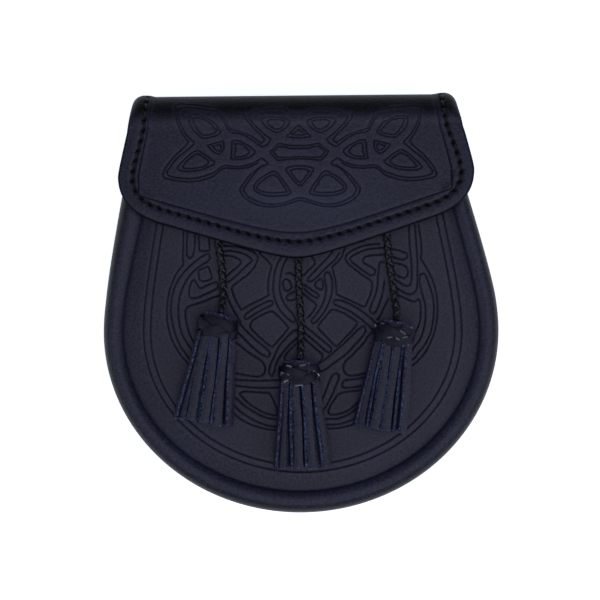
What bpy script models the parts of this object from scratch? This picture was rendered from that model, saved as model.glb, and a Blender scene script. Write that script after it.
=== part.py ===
"""Sporran pouch of black leather with three tassels, lying on its back.

The pouch is a domed front panel and a plain back panel joined by a gusset, whose front edge is
rolled into a plump rim. A two-layer flap folds over the top from behind and covers the mouth.
Three braided cords come out of slits under the flap, and each ends in a woven ring and a skirt
of cut leather strips. X is the width, +Y points to the folded top and +Z out of the front.
"""
import math

import bmesh
import bpy
import numpy as np
from mathutils import Vector

MM = 0.001

# Driving dimensions, in millimetres.
LEATHER = 2.0             # thickness of the panels, gusset and belt loops
FLAP_LEATHER = 3.0        # the flap is two layers sewn together
GAP = 0.35                # space kept between neighbouring pieces

# Outline of the pouch: half an ellipse below the waist, tapering sides above it.
WAIST_Y = -13.5
BODY_HALF_WIDTH = 89.0
BODY_DROP = 81.5          # from the waist down to the bottom of the rim
BODY_TAPER = 0.25         # how fast the sides draw in above the waist
SEAM_HALF_WIDTH = 80.8    # the seam between the front panel and the rim
SEAM_DROP = 72.7
SEAM_TAPER = 0.30
TAPER_EASE = 20.0         # length over which the sides turn into their taper
GUSSET_TOP = 84.0
FRONT_TOP = 62.0
BACK_TOP = 83.0

# Heights above the surface that the pouch lies on.
FRONT_EDGE_Z = 31.0
FRONT_PUFF = 3.0          # the front panel swells by this much inside its edge
PUFF_FROM = 0.78          # share of the panel's size at which it starts to fall to its edge
TOP_FALL = 3.0            # the front comes down by this much towards the mouth
TOP_FALL_FROM_Y = 30.0
TOP_FALL_TO_Y = 70.0
BACK_EDGE_Z = 0.8         # underside of the back panel along the gusset
BACK_DISH_Z = 6.9         # underside of the back panel over the belt loops
BACK_TOP_Z = 3.6          # underside of the back panel over the end of the flap

# Flap, as its outer surface.
FLAP_HALF_WIDTH = 80.6
FLAP_WIDEST_Y = 57.0
FLAP_TAPER = 0.26
FLAP_TAPER_EASE = 8.0
FLAP_TIP_Y = 20.9
FLAP_EDGE_SLOPE = 0.31    # the lower edge rises from the tip to each corner
FLAP_TIP_ROUND = 10.0
FLAP_CORNER_RADIUS = 11.0
FLAP_TILT = math.radians(6.3)
FOLD_RADIUS = 13.5
FOLD_CENTRE_Y = 81.5
FOLD_FRONT_Z = 22.7       # centre of the front bend of the fold
FLAP_END_Y = 72.5         # where the flap ends on the back
FLAP_SIDE_DROP = 1.2
FOLD_END_ROUND = 3.2      # the fold draws back at its two ends

# Tassels and their cords.
CORD_DIAMETER = 3.0
RING_LENGTH = 10.8
RING_HALF_WIDTH = 9.6
RING_HALF_DEPTH = 6.6
SKIRT_HALF_DEPTH = 4.8
SLIT_WIDTH = 4.2
SLIT_LENGTH = 10.0

# Belt loops and stud.
LOOP_WIDTH = 20.0
LOOP_HALF_LENGTH = 15.0
LOOP_FLANGE = 6.0
LOOP_X = 34.0
LOOP_Y = 41.0
STUD_Y = 46.0
STUD_RADIUS = 5.5

# Each tassel: where its cord meets the ring, how far it leans, and its skirt.
# A cord's route starts inside the pouch, crosses its slit at the third point and runs down the
# front to the ring.
TASSELS = {
    "left": {
        "ring_x": -36.5, "ring_y": -4.2, "lean": 10.5, "hem_half_width": 13.2, "skirt": 39.0,
        "route": [(-37.6, 44.4, 29.4), (-37.4, 42.2, 31.6), (-37.2, 40.0, 33.7), (-37.0, 37.4, 35.3),
                  (-36.7, 34.4, 35.9), (-36.2, 30.0, 35.9), (-35.5, 24.5, 35.9), (-34.8, 19.0, 35.9),
                  (-34.4, 13.5, 35.9), (-34.2, 8.5, 36.1), (-34.3, 4.0, 37.1), (-34.8, -0.3, 38.8),
                  (-35.3, -3.7, 40.3)],
    },
    "centre": {
        "ring_x": -1.0, "ring_y": -26.4, "lean": -0.5, "hem_half_width": 13.4, "skirt": 37.6,
        "route": [(0.0, 36.4, 29.4), (0.0, 34.2, 31.6), (0.0, 32.0, 33.7), (0.0, 29.4, 35.3),
                  (0.0, 26.4, 35.9), (-0.1, 22.0, 35.9), (-0.1, 16.5, 35.9), (-0.1, 10.5, 35.9),
                  (0.0, 4.5, 35.9), (0.2, -1.5, 35.9), (0.4, -7.5, 35.9), (0.3, -13.5, 36.2),
                  (0.1, -18.5, 37.3), (-0.1, -22.5, 38.9), (-0.5, -25.9, 40.3)],
    },
    "right": {
        "ring_x": 43.0, "ring_y": -10.0, "lean": 9.9, "hem_half_width": 12.2, "skirt": 38.0,
        "route": [(40.0, 45.4, 29.4), (40.1, 43.2, 31.6), (40.1, 41.0, 33.7), (40.2, 38.4, 35.3),
                  (40.2, 35.4, 35.9), (40.3, 31.0, 35.9), (40.4, 25.5, 35.9), (40.7, 19.5, 35.9),
                  (41.5, 13.0, 35.9), (42.3, 6.5, 36.0), (43.0, 0.5, 36.8), (43.5, -5.0, 38.7),
                  (43.7, -9.5, 40.3)],
    },
}

# Outlines and heights.
SIDE_STEPS = 12
BEND_STEPS = 36


def smooth_step(value):
    """Ease from 0 to 1 as the value goes from 0 to 1."""
    value = min(max(value, 0.0), 1.0)
    return value * value * (3.0 - 2.0 * value)


def tapered(y, start, half_width, taper, ease):
    """Half-width at height y of a side that draws in above its widest place."""
    return half_width - taper * (math.hypot(max(y - start, 0.0), ease) - ease)


def u_outline(half_width, drop, taper, top):
    """Points of a U, from its top left end round the bottom to its top right end."""
    heights = np.linspace(top, WAIST_Y, SIDE_STEPS, endpoint=False)
    right = [(tapered(y, WAIST_Y, half_width, taper, TAPER_EASE), y) for y in heights]
    angles = np.linspace(0.0, math.pi, BEND_STEPS + 1)
    bend = [(-half_width * math.cos(a), WAIST_Y - drop * math.sin(a)) for a in angles]
    return [(-x, y) for x, y in right] + bend + right[::-1]


def shrunk(point, share):
    """A point of a U outline moved inwards to a share of the outline's size."""
    x, y = point
    if y < WAIST_Y:
        y = WAIST_Y + share * (y - WAIST_Y)
    return share * x, y


def top_fall(y):
    """How far the front has come down towards the mouth at height y."""
    rise = max(y - TOP_FALL_FROM_Y, 0.0) / (TOP_FALL_TO_Y - TOP_FALL_FROM_Y)
    return TOP_FALL * rise * rise


def front_z(y, share):
    """Height of the front panel's outer face."""
    edge = max(share - PUFF_FROM, 0.0) / (1.0 - PUFF_FROM)
    return FRONT_EDGE_Z + FRONT_PUFF * (1.0 - edge * edge) - top_fall(y)


def back_z(y, share):
    """Height of the back panel's inner face."""
    edge_z = BACK_EDGE_Z + (BACK_TOP_Z - BACK_EDGE_Z) * smooth_step((y - 62.0) / 8.0)
    dish_z = BACK_DISH_Z + (BACK_TOP_Z - BACK_DISH_Z) * smooth_step((y - 67.0) / 10.0)
    inward = smooth_step((1.0 - share) / 0.2)
    return edge_z + (dish_z - edge_z) * inward + LEATHER


# Objects and materials.
def material(name, colour, roughness, metallic=0.0):
    """A Principled material of one linear colour."""
    result = bpy.data.materials.new(name)
    result.use_nodes = True
    shader = result.node_tree.nodes["Principled BSDF"]
    shader.inputs["Base Color"].default_value = (*colour, 1.0)
    shader.inputs["Roughness"].default_value = roughness
    shader.inputs["Metallic"].default_value = metallic
    return result


def add_object(name, data, collection, finish=None):
    """Link an object to its collection with its material."""
    result = bpy.data.objects.new(name, data)
    collection.objects.link(result)
    if finish:
        data.materials.append(finish)
    return result


def mesh_from_grid(name, rows, closed=False):
    """A mesh of quads over rows of points; coincident points are welded."""
    count = len(rows[0])
    points = [Vector(point) * MM for row in rows for point in row]
    steps = count if closed else count - 1
    faces = []
    for i in range(len(rows) - 1):
        for j in range(steps):
            here, there = j, (j + 1) % count
            faces.append((i * count + here, (i + 1) * count + here,
                          (i + 1) * count + there, i * count + there))
    mesh = bpy.data.meshes.new(name)
    mesh.from_pydata(points, [], faces)
    build = bmesh.new()
    build.from_mesh(mesh)
    bmesh.ops.remove_doubles(build, verts=build.verts, dist=0.01 * MM)
    if closed:
        rims = [edge for edge in build.edges if edge.is_boundary]
        bmesh.ops.holes_fill(build, edges=rims, sides=count)
        bmesh.ops.recalc_face_normals(build, faces=build.faces)
    build.to_mesh(mesh)
    build.free()
    mesh.shade_smooth()
    mesh.set_sharp_from_angle(angle=math.radians(40.0))
    return mesh


def add_sheet(name, rows, thickness, finish, collection):
    """A leather piece whose outer face runs through the rows of points."""
    result = add_object(name, mesh_from_grid(name, rows), collection, finish)
    wall = result.modifiers.new("Wall", "SOLIDIFY")
    wall.thickness = thickness * MM
    wall.offset = -1.0
    wall.use_even_offset = True
    return result


# Pouch.
def add_front_panel(collection, cutters, finish):
    """The domed front, cut by one slit for each cord."""
    outline = u_outline(SEAM_HALF_WIDTH - GAP, SEAM_DROP - GAP, SEAM_TAPER, FRONT_TOP)
    rows = []
    for share in (0.0, 0.25, 0.5, 0.68, 0.78, 0.86, 0.93, 0.975, 1.0):
        row = [shrunk(point, share) for point in outline]
        rows.append([(x, y, front_z(y, share)) for x, y in row])
    panel = add_sheet("front_panel", rows, LEATHER, finish, collection)
    for side, tassel in TASSELS.items():
        x, y, _ = tassel["route"][2]
        bpy.ops.mesh.primitive_cube_add(size=1.0, location=(x * MM, y * MM, FRONT_EDGE_Z * MM))
        cutter = bpy.context.object
        cutter.name = f"slit_{side}"
        cutter.scale = (SLIT_WIDTH * MM, SLIT_LENGTH * MM, 14.0 * MM)
        cutter.display_type = "WIRE"
        cutter.hide_render = True
        for home in list(cutter.users_collection):
            home.objects.unlink(cutter)
        cutters.objects.link(cutter)
        cut = panel.modifiers.new(f"Slit {side}", "BOOLEAN")
        cut.operation = "DIFFERENCE"
        cut.object = cutter


def gusset_foot(y):
    """Height of the gusset's back edge, which steps over the end of the flap."""
    over_flap = FLAP_LEATHER + 0.7
    return over_flap * smooth_step((y - (FLAP_END_Y - 9.0)) / 8.0)


def add_gusset(collection, finish):
    """The band round the pouch, from the seam over the rolled rim down to the back edge."""
    seam = u_outline(SEAM_HALF_WIDTH, SEAM_DROP, SEAM_TAPER, GUSSET_TOP)
    body = u_outline(BODY_HALF_WIDTH, BODY_DROP, BODY_TAPER, GUSSET_TOP)
    section = [(0.06, 27.5), (0.05, 31.0), (0.15, 33.0), (0.36, 34.2), (0.60, 33.8), (0.82, 31.6),
               (0.95, 28.0), (1.0, 23.0), (1.0, 0.0)]
    rows = []
    for share, height in section:
        row = []
        for inner, outer in zip(seam, body):
            x = inner[0] + share * (outer[0] - inner[0])
            y = inner[1] + share * (outer[1] - inner[1])
            z = height * (1.0 - top_fall(y) / FRONT_EDGE_Z)
            row.append((x, y, max(z, gusset_foot(y))))
        rows.append(row)
    add_sheet("gusset", rows, LEATHER, finish, collection)


def add_back_panel(collection, finish):
    """The back, dished in over the belt loops."""
    inset = LEATHER + GAP
    outline = u_outline(BODY_HALF_WIDTH - inset, BODY_DROP - inset, BODY_TAPER, BACK_TOP)
    rows = []
    for share in (0.0, 0.4, 0.78, 0.84, 0.9, 0.96, 1.0):
        row = [shrunk(point, share) for point in outline]
        rows.append([(x, y, back_z(y, share)) for x, y in row])
    add_sheet("back_panel", rows, LEATHER, finish, collection)


# Flap.
def flap_lower_edge(x):
    """Height of the flap's lower edge: a blunt tip, straight slopes and round corners."""
    def slope_y(distance):
        return FLAP_TIP_Y + FLAP_EDGE_SLOPE * (math.hypot(distance, FLAP_TIP_ROUND) - FLAP_TIP_ROUND)

    lean = math.atan(FLAP_EDGE_SLOPE)
    centre_x = FLAP_HALF_WIDTH - FLAP_CORNER_RADIUS
    touch_x = centre_x + FLAP_CORNER_RADIUS * math.sin(lean)
    centre_y = slope_y(touch_x) + FLAP_CORNER_RADIUS * math.cos(lean)
    if abs(x) <= touch_x:
        return slope_y(x)
    reach = min(abs(x) - centre_x, FLAP_CORNER_RADIUS)
    return centre_y - math.sqrt(FLAP_CORNER_RADIUS ** 2 - reach ** 2)


def fold_profile():
    """Outer face of the fold in Y and Z, from the end of the flat front round to the back."""
    rear_z = FOLD_RADIUS
    front = [(FOLD_CENTRE_Y + FOLD_RADIUS * math.cos(a), FOLD_FRONT_Z + FOLD_RADIUS * math.sin(a))
             for a in np.linspace(math.pi / 2.0 + FLAP_TILT, 0.0, 8)]
    rear = [(FOLD_CENTRE_Y + FOLD_RADIUS * math.cos(a), rear_z + FOLD_RADIUS * math.sin(a))
            for a in np.linspace(0.0, -math.pi / 2.0, 7)]
    return front + rear + [(FLAP_END_Y, 0.0)]


def flap_point(side, y, z):
    """A point of the flap's outer face at a share of the half-width, from -1 to 1."""
    x = side * tapered(y, FLAP_WIDEST_Y, FLAP_HALF_WIDTH, FLAP_TAPER, FLAP_TAPER_EASE)
    if z < FOLD_FRONT_Z:
        x = side * tapered(FOLD_CENTRE_Y + FOLD_RADIUS, FLAP_WIDEST_Y, FLAP_HALF_WIDTH, FLAP_TAPER,
                           FLAP_TAPER_EASE)
    to_end = max(abs(x) - 60.0, 0.0) / 14.0
    y -= FOLD_END_ROUND * to_end ** 2 * min(max((y - 70.0) / 25.0, 0.0), 1.0)
    z -= FLAP_SIDE_DROP * (abs(x) / FLAP_HALF_WIDTH) ** 4 * smooth_step(z / 30.0)
    return x, y, z


def add_flap(collection, finish):
    """The flap, from its lower edge up the front, over the fold and down the back."""
    sides = [math.sin(a) for a in np.linspace(math.pi / 2.0, -math.pi / 2.0, 27)]
    fold = fold_profile()
    start_y, start_z = fold[0]
    rows = []
    for share in np.linspace(0.0, 1.0, 9)[:-1]:
        row = []
        for side in sides:
            edge_y = flap_lower_edge(side * FLAP_HALF_WIDTH)
            y = edge_y + share * (start_y - edge_y)
            row.append(flap_point(side, y, start_z + (start_y - y) * math.tan(FLAP_TILT)))
        rows.append(row)
    for y, z in fold:
        rows.append([flap_point(side, y, z) for side in sides])
    add_sheet("flap", rows, FLAP_LEATHER, finish, collection)


# Cords and tassels.
def smooth_route(points, spacing):
    """Evenly spaced points on a smooth curve through the route's points."""
    points = [Vector(point) for point in points]
    ends = [2.0 * points[0] - points[1]] + points + [2.0 * points[-1] - points[-2]]
    fine = []
    for a, b, c, d in zip(ends, ends[1:], ends[2:], ends[3:]):
        for step in range(12):
            t = step / 12.0
            fine.append(0.5 * (2.0 * b + (c - a) * t + (2.0 * a - 5.0 * b + 4.0 * c - d) * t ** 2
                               + (3.0 * b - a - 3.0 * c + d) * t ** 3))
    fine.append(points[-1])
    travelled = [0.0]
    for here, there in zip(fine, fine[1:]):
        travelled.append(travelled[-1] + (there - here).length)
    stops = np.linspace(0.0, travelled[-1], max(int(travelled[-1] / spacing), 2) + 1)
    axes = [np.interp(stops, travelled, [point[axis] for point in fine]) for axis in range(3)]
    return [Vector(point) for point in zip(*axes)]


def add_cord(name, route, collection, finish):
    """A round cord along its route."""
    points = smooth_route(route, 2.0 * CORD_DIAMETER)
    curve = bpy.data.curves.new(name, "CURVE")
    curve.dimensions = "3D"
    curve.bevel_depth = CORD_DIAMETER / 2.0 * MM
    curve.bevel_resolution = 2
    curve.use_fill_caps = True
    spline = curve.splines.new("POLY")
    spline.points.add(len(points) - 1)
    for place, point in zip(spline.points, points):
        place.co = (*(point * MM), 1.0)
    add_object(name, curve, collection, finish)


def add_bundle(name, start, lean, sections, collection, finish):
    """A solid lofted through oval sections along a leaning axis that runs down the front.

    Each section is (distance along the axis, half-width, half-depth, height of its centre)."""
    along = Vector((-math.sin(lean), -math.cos(lean), 0.0))
    across = Vector((math.cos(lean), -math.sin(lean), 0.0))
    rows = []
    for distance, half_width, half_depth, height in sections:
        row = []
        for angle in np.linspace(0.0, 2.0 * math.pi, 24, endpoint=False):
            # A fuller oval than an ellipse, because the bundle lies squashed on the panel.
            wide = math.copysign(abs(math.cos(angle)) ** 0.8, math.cos(angle)) * half_width
            deep = math.copysign(abs(math.sin(angle)) ** 0.8, math.sin(angle)) * half_depth
            point = Vector((*start, height)) + along * distance + across * wide
            row.append(point + Vector((0.0, 0.0, deep)))
        rows.append(row)
    add_object(name, mesh_from_grid(name, rows, closed=True), collection, finish)


def add_tassel(side, tassel, collection, cord_finish, ring_finish, strip_finish):
    """A cord with its woven ring and its skirt of strips, as their outer forms."""
    add_cord(f"cord_{side}", tassel["route"], collection, cord_finish)
    start = (tassel["ring_x"], tassel["ring_y"])
    lean = math.radians(tassel["lean"])
    rest_z = FRONT_EDGE_Z + FRONT_PUFF + GAP
    centre_z = rest_z + RING_HALF_DEPTH
    ring = [(share * RING_LENGTH, size * RING_HALF_WIDTH, size * RING_HALF_DEPTH, centre_z)
            for share, size in ((0.0, 0.86), (0.12, 0.95), (0.35, 1.0), (0.65, 1.0), (0.88, 0.97),
                                (1.0, 0.92))]
    add_bundle(f"tassel_ring_{side}", start, lean, ring, collection, ring_finish)
    top = RING_LENGTH + GAP
    hem = tassel["hem_half_width"]
    top_half_width = 0.92 * RING_HALF_WIDTH
    skirt = []
    for share in (0.0, 0.3, 0.65, 1.0):
        half_depth = 5.8 + (SKIRT_HALF_DEPTH - 5.8) * share
        half_width = top_half_width + (hem - top_half_width) * share ** 0.85
        height = centre_z + (rest_z + SKIRT_HALF_DEPTH - centre_z) * share
        skirt.append((top + share * tassel["skirt"], half_width, half_depth, height))
    add_bundle(f"tassel_skirt_{side}", start, lean, skirt, collection, strip_finish)


# Hidden fittings.
def add_belt_loop(name, x, collection, finish):
    """A strap of leather bridged under the back panel for the sporran strap to run through."""
    flange_z = BACK_DISH_Z - GAP - LEATHER
    half = LOOP_HALF_LENGTH
    # Lower face of the loop from one flange over the bridge to the other.
    profile = [(-half - LOOP_FLANGE, flange_z), (-half - 0.6, flange_z), (-half + 1.0, 0.0),
               (half - 1.0, 0.0), (half + 0.6, flange_z), (half + LOOP_FLANGE, flange_z)]
    rows = []
    for y, z in profile[::-1]:
        rows.append([(x + side * LOOP_WIDTH / 2.0, LOOP_Y + y, z) for side in (1.0, -1.0)])
    add_sheet(name, rows, LEATHER, finish, collection)


def add_stud(collection, finish):
    """The press stud between the front panel and the flap, as one turned piece."""
    bottom = FRONT_EDGE_Z + FRONT_PUFF + GAP
    height = 1.7
    profile = [(0.0, height), (0.8 * STUD_RADIUS, height), (STUD_RADIUS, 0.7 * height),
               (STUD_RADIUS, 0.0), (0.0, 0.0)]
    mesh = bpy.data.meshes.new("flap_stud")
    points = [(x * MM, 0.0, z * MM) for x, z in profile]
    mesh.from_pydata(points, [(i, i + 1) for i in range(len(points) - 1)], [])
    stud = add_object("flap_stud", mesh, collection, finish)
    stud.location = (0.0, STUD_Y * MM, bottom * MM)
    turn = stud.modifiers.new("Turn", "SCREW")
    turn.steps = 24
    turn.render_steps = 24
    turn.use_merge_vertices = True
    turn.merge_threshold = 0.00001


def main():
    for old in list(bpy.data.objects):
        bpy.data.objects.remove(old)
    pouch = bpy.data.collections.new("sporran_pouch")
    cutters = bpy.data.collections.new("cutters")
    for collection in (pouch, cutters):
        bpy.context.scene.collection.children.link(collection)

    leather = material("black_grain_leather", (0.022, 0.022, 0.033), 0.5)
    braid = material("braided_black_leather", (0.012, 0.012, 0.018), 0.45)
    strips = material("blue_black_suede_strips", (0.02, 0.024, 0.05), 0.65)
    brass = material("plain_brass", (0.6, 0.45, 0.2), 0.3, 1.0)

    add_front_panel(pouch, cutters, leather)
    add_gusset(pouch, leather)
    add_back_panel(pouch, leather)
    add_flap(pouch, leather)
    for side, tassel in TASSELS.items():
        add_tassel(side, tassel, pouch, braid, leather, strips)
    for side, x in (("left", -LOOP_X), ("right", LOOP_X)):
        add_belt_loop(f"belt_loop_{side}", x, pouch, leather)
    add_stud(pouch, brass)


main()
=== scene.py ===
# %% [markdown]
# # Sporran pouch
# A day sporran of black leather, lying on its back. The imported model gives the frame: how wide,
# high and deep every part is. This lesson dresses each part in the leather, lace and thread of
# the real thing. Blender works in metres. A leather worker thinks in millimetres, and so does
# this script: it multiplies by MM once, where a mesh is made.

# %% Load the frame
import math

import bmesh
import bpy
import numpy as np
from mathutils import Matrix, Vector, noise
from mathutils.geometry import delaunay_2d_cdt
from mathutils.kdtree import KDTree


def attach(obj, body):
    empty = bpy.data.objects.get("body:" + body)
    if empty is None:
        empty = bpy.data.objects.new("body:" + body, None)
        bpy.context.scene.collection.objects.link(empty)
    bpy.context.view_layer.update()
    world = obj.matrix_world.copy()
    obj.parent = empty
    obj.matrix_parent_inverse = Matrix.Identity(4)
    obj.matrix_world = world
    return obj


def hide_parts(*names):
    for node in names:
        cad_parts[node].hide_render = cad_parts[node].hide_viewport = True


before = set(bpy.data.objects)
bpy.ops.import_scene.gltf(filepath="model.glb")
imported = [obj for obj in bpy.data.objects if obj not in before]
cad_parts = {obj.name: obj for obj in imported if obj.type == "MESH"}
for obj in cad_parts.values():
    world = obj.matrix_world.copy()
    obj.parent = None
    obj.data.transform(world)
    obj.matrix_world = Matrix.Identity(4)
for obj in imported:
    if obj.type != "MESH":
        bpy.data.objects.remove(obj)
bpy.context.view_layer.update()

MM = 0.001
print("frame nodes:", ", ".join(sorted(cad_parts)))

# %% [markdown]
# ## Camera
# The pouch is looked at from straight above, a little turned, through a long lens, so that the
# tall parts hardly lean outwards. A flat (orthographic) camera would hide that lean altogether,
# and look unreal. The lens follows from the width of the view: a 36 mm sensor sees 36 mm at its
# focal length's distance, and in proportion further away.

# %% Camera
VIEW_WIDTH = 272.1         # what the lens takes in at the pouch's mid height
VIEW_HEIGHT = 30.0         # height of that plane above the floor
CAMERA_DISTANCE = 1000.0
SENSOR = 36.0
VIEW_CENTRE = (0.25, 0.67)
POUCH_TURN = 1.5           # degrees, anticlockwise as the camera sees it

camera_data = bpy.data.cameras.new("camera")
camera_data.sensor_width = SENSOR
camera_data.lens = SENSOR * CAMERA_DISTANCE / VIEW_WIDTH
camera = bpy.data.objects.new("camera", camera_data)
bpy.context.scene.collection.objects.link(camera)
camera.location = Vector((*VIEW_CENTRE, VIEW_HEIGHT + CAMERA_DISTANCE)) * MM
camera.rotation_euler = (0.0, 0.0, -math.radians(POUCH_TURN))
bpy.context.scene.camera = camera
bpy.context.scene.view_settings.view_transform = "Standard"
print(f"lens {camera_data.lens:.1f} mm")

# %% [markdown]
# ## Colours and nodes
# Colours are picked as sRGB hex values, as a painting program shows them. Shaders work on light,
# which is linear, so one function turns each of them. Another small function adds a shader node
# with its settings and its inputs; an input is a number, a colour or another node's output.
# Every material starts with the same three things, so a third function makes those.

# %% Colour and node helpers
# A Mix node has sockets for every kind of data. These are the ones that it uses for colours.
FACTOR, FIRST, SECOND, MIXED = 0, 6, 7, 2


def linear(hex_colour):
    """An sRGB hex colour as the linear colour that a shader takes."""
    parts = [int(hex_colour[i:i + 2], 16) / 255 for i in (1, 3, 5)]
    return (*[c / 12.92 if c <= 0.04045 else ((c + 0.055) / 1.055) ** 2.4 for c in parts], 1.0)


def feed(owner, node, inputs):
    """Set a node's inputs to numbers and colours, or link them to other nodes' outputs."""
    for name, value in inputs.items():
        if isinstance(value, bpy.types.NodeSocket):
            owner.node_tree.links.new(value, node.inputs[name])
        else:
            node.inputs[name].default_value = value


def add_node(owner, kind, settings=None, inputs=None):
    """Add a node to a material, set it up and feed its inputs."""
    node = owner.node_tree.nodes.new(kind)
    for name, value in (settings or {}).items():
        setattr(node, name, value)
    feed(owner, node, inputs or {})
    return node


def new_finish(name):
    """A new material, its shader, and each point's place on the piece for the patterns."""
    finish = bpy.data.materials.new(name)
    finish.use_nodes = True
    place = add_node(finish, "ShaderNodeTexCoord").outputs["Object"]
    return finish, finish.node_tree.nodes["Principled BSDF"], place


def per_metre(size_mm):
    """The texture scale at which one cell or wave is so many millimetres wide."""
    return 1.0 / (size_mm * MM)


# %% [markdown]
# ## Studio
# Black leather is hard to light: it shows little but what it mirrors. Bright lamps would turn it
# grey, and dim ones would leave the background grey too. Product studios use a light table, a
# sheet of white acrylic lit from below. It stays white on its own, swallows the shadows, and lets
# the soft boxes above be weak. The largest box hangs overhead, a little to the right, where every
# level stretch of leather mirrors it softly. The light is a little cool, like daylight.

# %% Floor, world and lights
FLOOR_HALF = 4.0           # in metres, like all of the studio
DAYLIGHT = (0.84, 0.88, 1.0)
ROOM_COLOUR = (0.09, 0.10, 0.14, 1.0)


def add_floor():
    """A wide sheet of white acrylic, lit from below."""
    mesh = bpy.data.meshes.new("light_table")
    corners = [(x * FLOOR_HALF, y * FLOOR_HALF, 0.0)
               for x, y in ((-1, -1), (1, -1), (1, 1), (-1, 1))]
    mesh.from_pydata(corners, [], [(0, 1, 2, 3)])
    acrylic = bpy.data.materials.new("lit_white_acrylic")
    acrylic.use_nodes = True
    feed(acrylic, acrylic.node_tree.nodes["Principled BSDF"],
         {"Base Color": linear("#f4f4f4"), "Roughness": 0.6,
          "Emission Color": linear("#eef3ff"), "Emission Strength": 0.98})
    mesh.materials.append(acrylic)
    floor = bpy.data.objects.new("light_table", mesh)
    bpy.context.scene.collection.objects.link(floor)


def add_soft_box(name, place, size, power):
    """A square area light in metres, aimed at the middle of the pouch."""
    data = bpy.data.lights.new(name, "AREA")
    data.color = DAYLIGHT
    data.size = size
    data.energy = power
    light = bpy.data.objects.new(name, data)
    bpy.context.scene.collection.objects.link(light)
    light.location = place
    light.rotation_euler = (-Vector(place)).to_track_quat("-Z", "Y").to_euler()


world = bpy.data.worlds.new("studio")
world.use_nodes = True
feed(world, world.node_tree.nodes["Background"], {"Color": ROOM_COLOUR})
bpy.context.scene.world = world
add_floor()
add_soft_box("soft_box_over", (0.15, 0.05, 1.33), 0.9, 2.6)
add_soft_box("soft_box_right", (1.1, -0.5, 0.9), 0.8, 3.0)
add_soft_box("soft_box_left", (-1.1, -0.4, 0.9), 0.8, 2.4)
add_soft_box("soft_box_near", (0.1, -0.8, 1.15), 0.7, 1.7)
print("studio: light table and 4 soft boxes")

# %% [markdown]
# ## Dressed black leather
# Cowhide, dyed through, then plated smooth and waxed. What that gives the eye: a near-black with
# a cold blue cast, a satin shine, and the hide's own grain, a net of fine cells. Real grain cells
# are about 0.4 mm; they are drawn at 0.9 mm, since finer ones vanish at this size. Grain could be
# an image laid on the mesh, but noise and cells made by the shader need no unwrapping and have no
# seams. A pressed line is scorched darker and duller by the hot tool, and a worn ridge is a
# little greyer. The meshes carry both as marks on their points: "press" and "rub". The first
# also paints shade, dark and dull: in the stitch slits, over the fold and on the rim's outer
# side. The second also paints a highlight on the middle of the flap. A mark above 1 is as dark
# as 1 but duller still, for the painted edge and for painted shade.

# %% Leather material
GRAIN_CELL = 0.9
GRAIN_DEPTH = 0.12
PORE_SIZE = 1.0
PATCH_SIZE = 38.0          # the dye takes unevenly over patches of this size
# The first is for scorched lines and painted shade, the second for worn ridges and a painted
# highlight.
SCORCH_AND_SHADE_COLOUR = "#08080d"
WEAR_AND_SHEEN_COLOUR = "#38384e"


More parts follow.
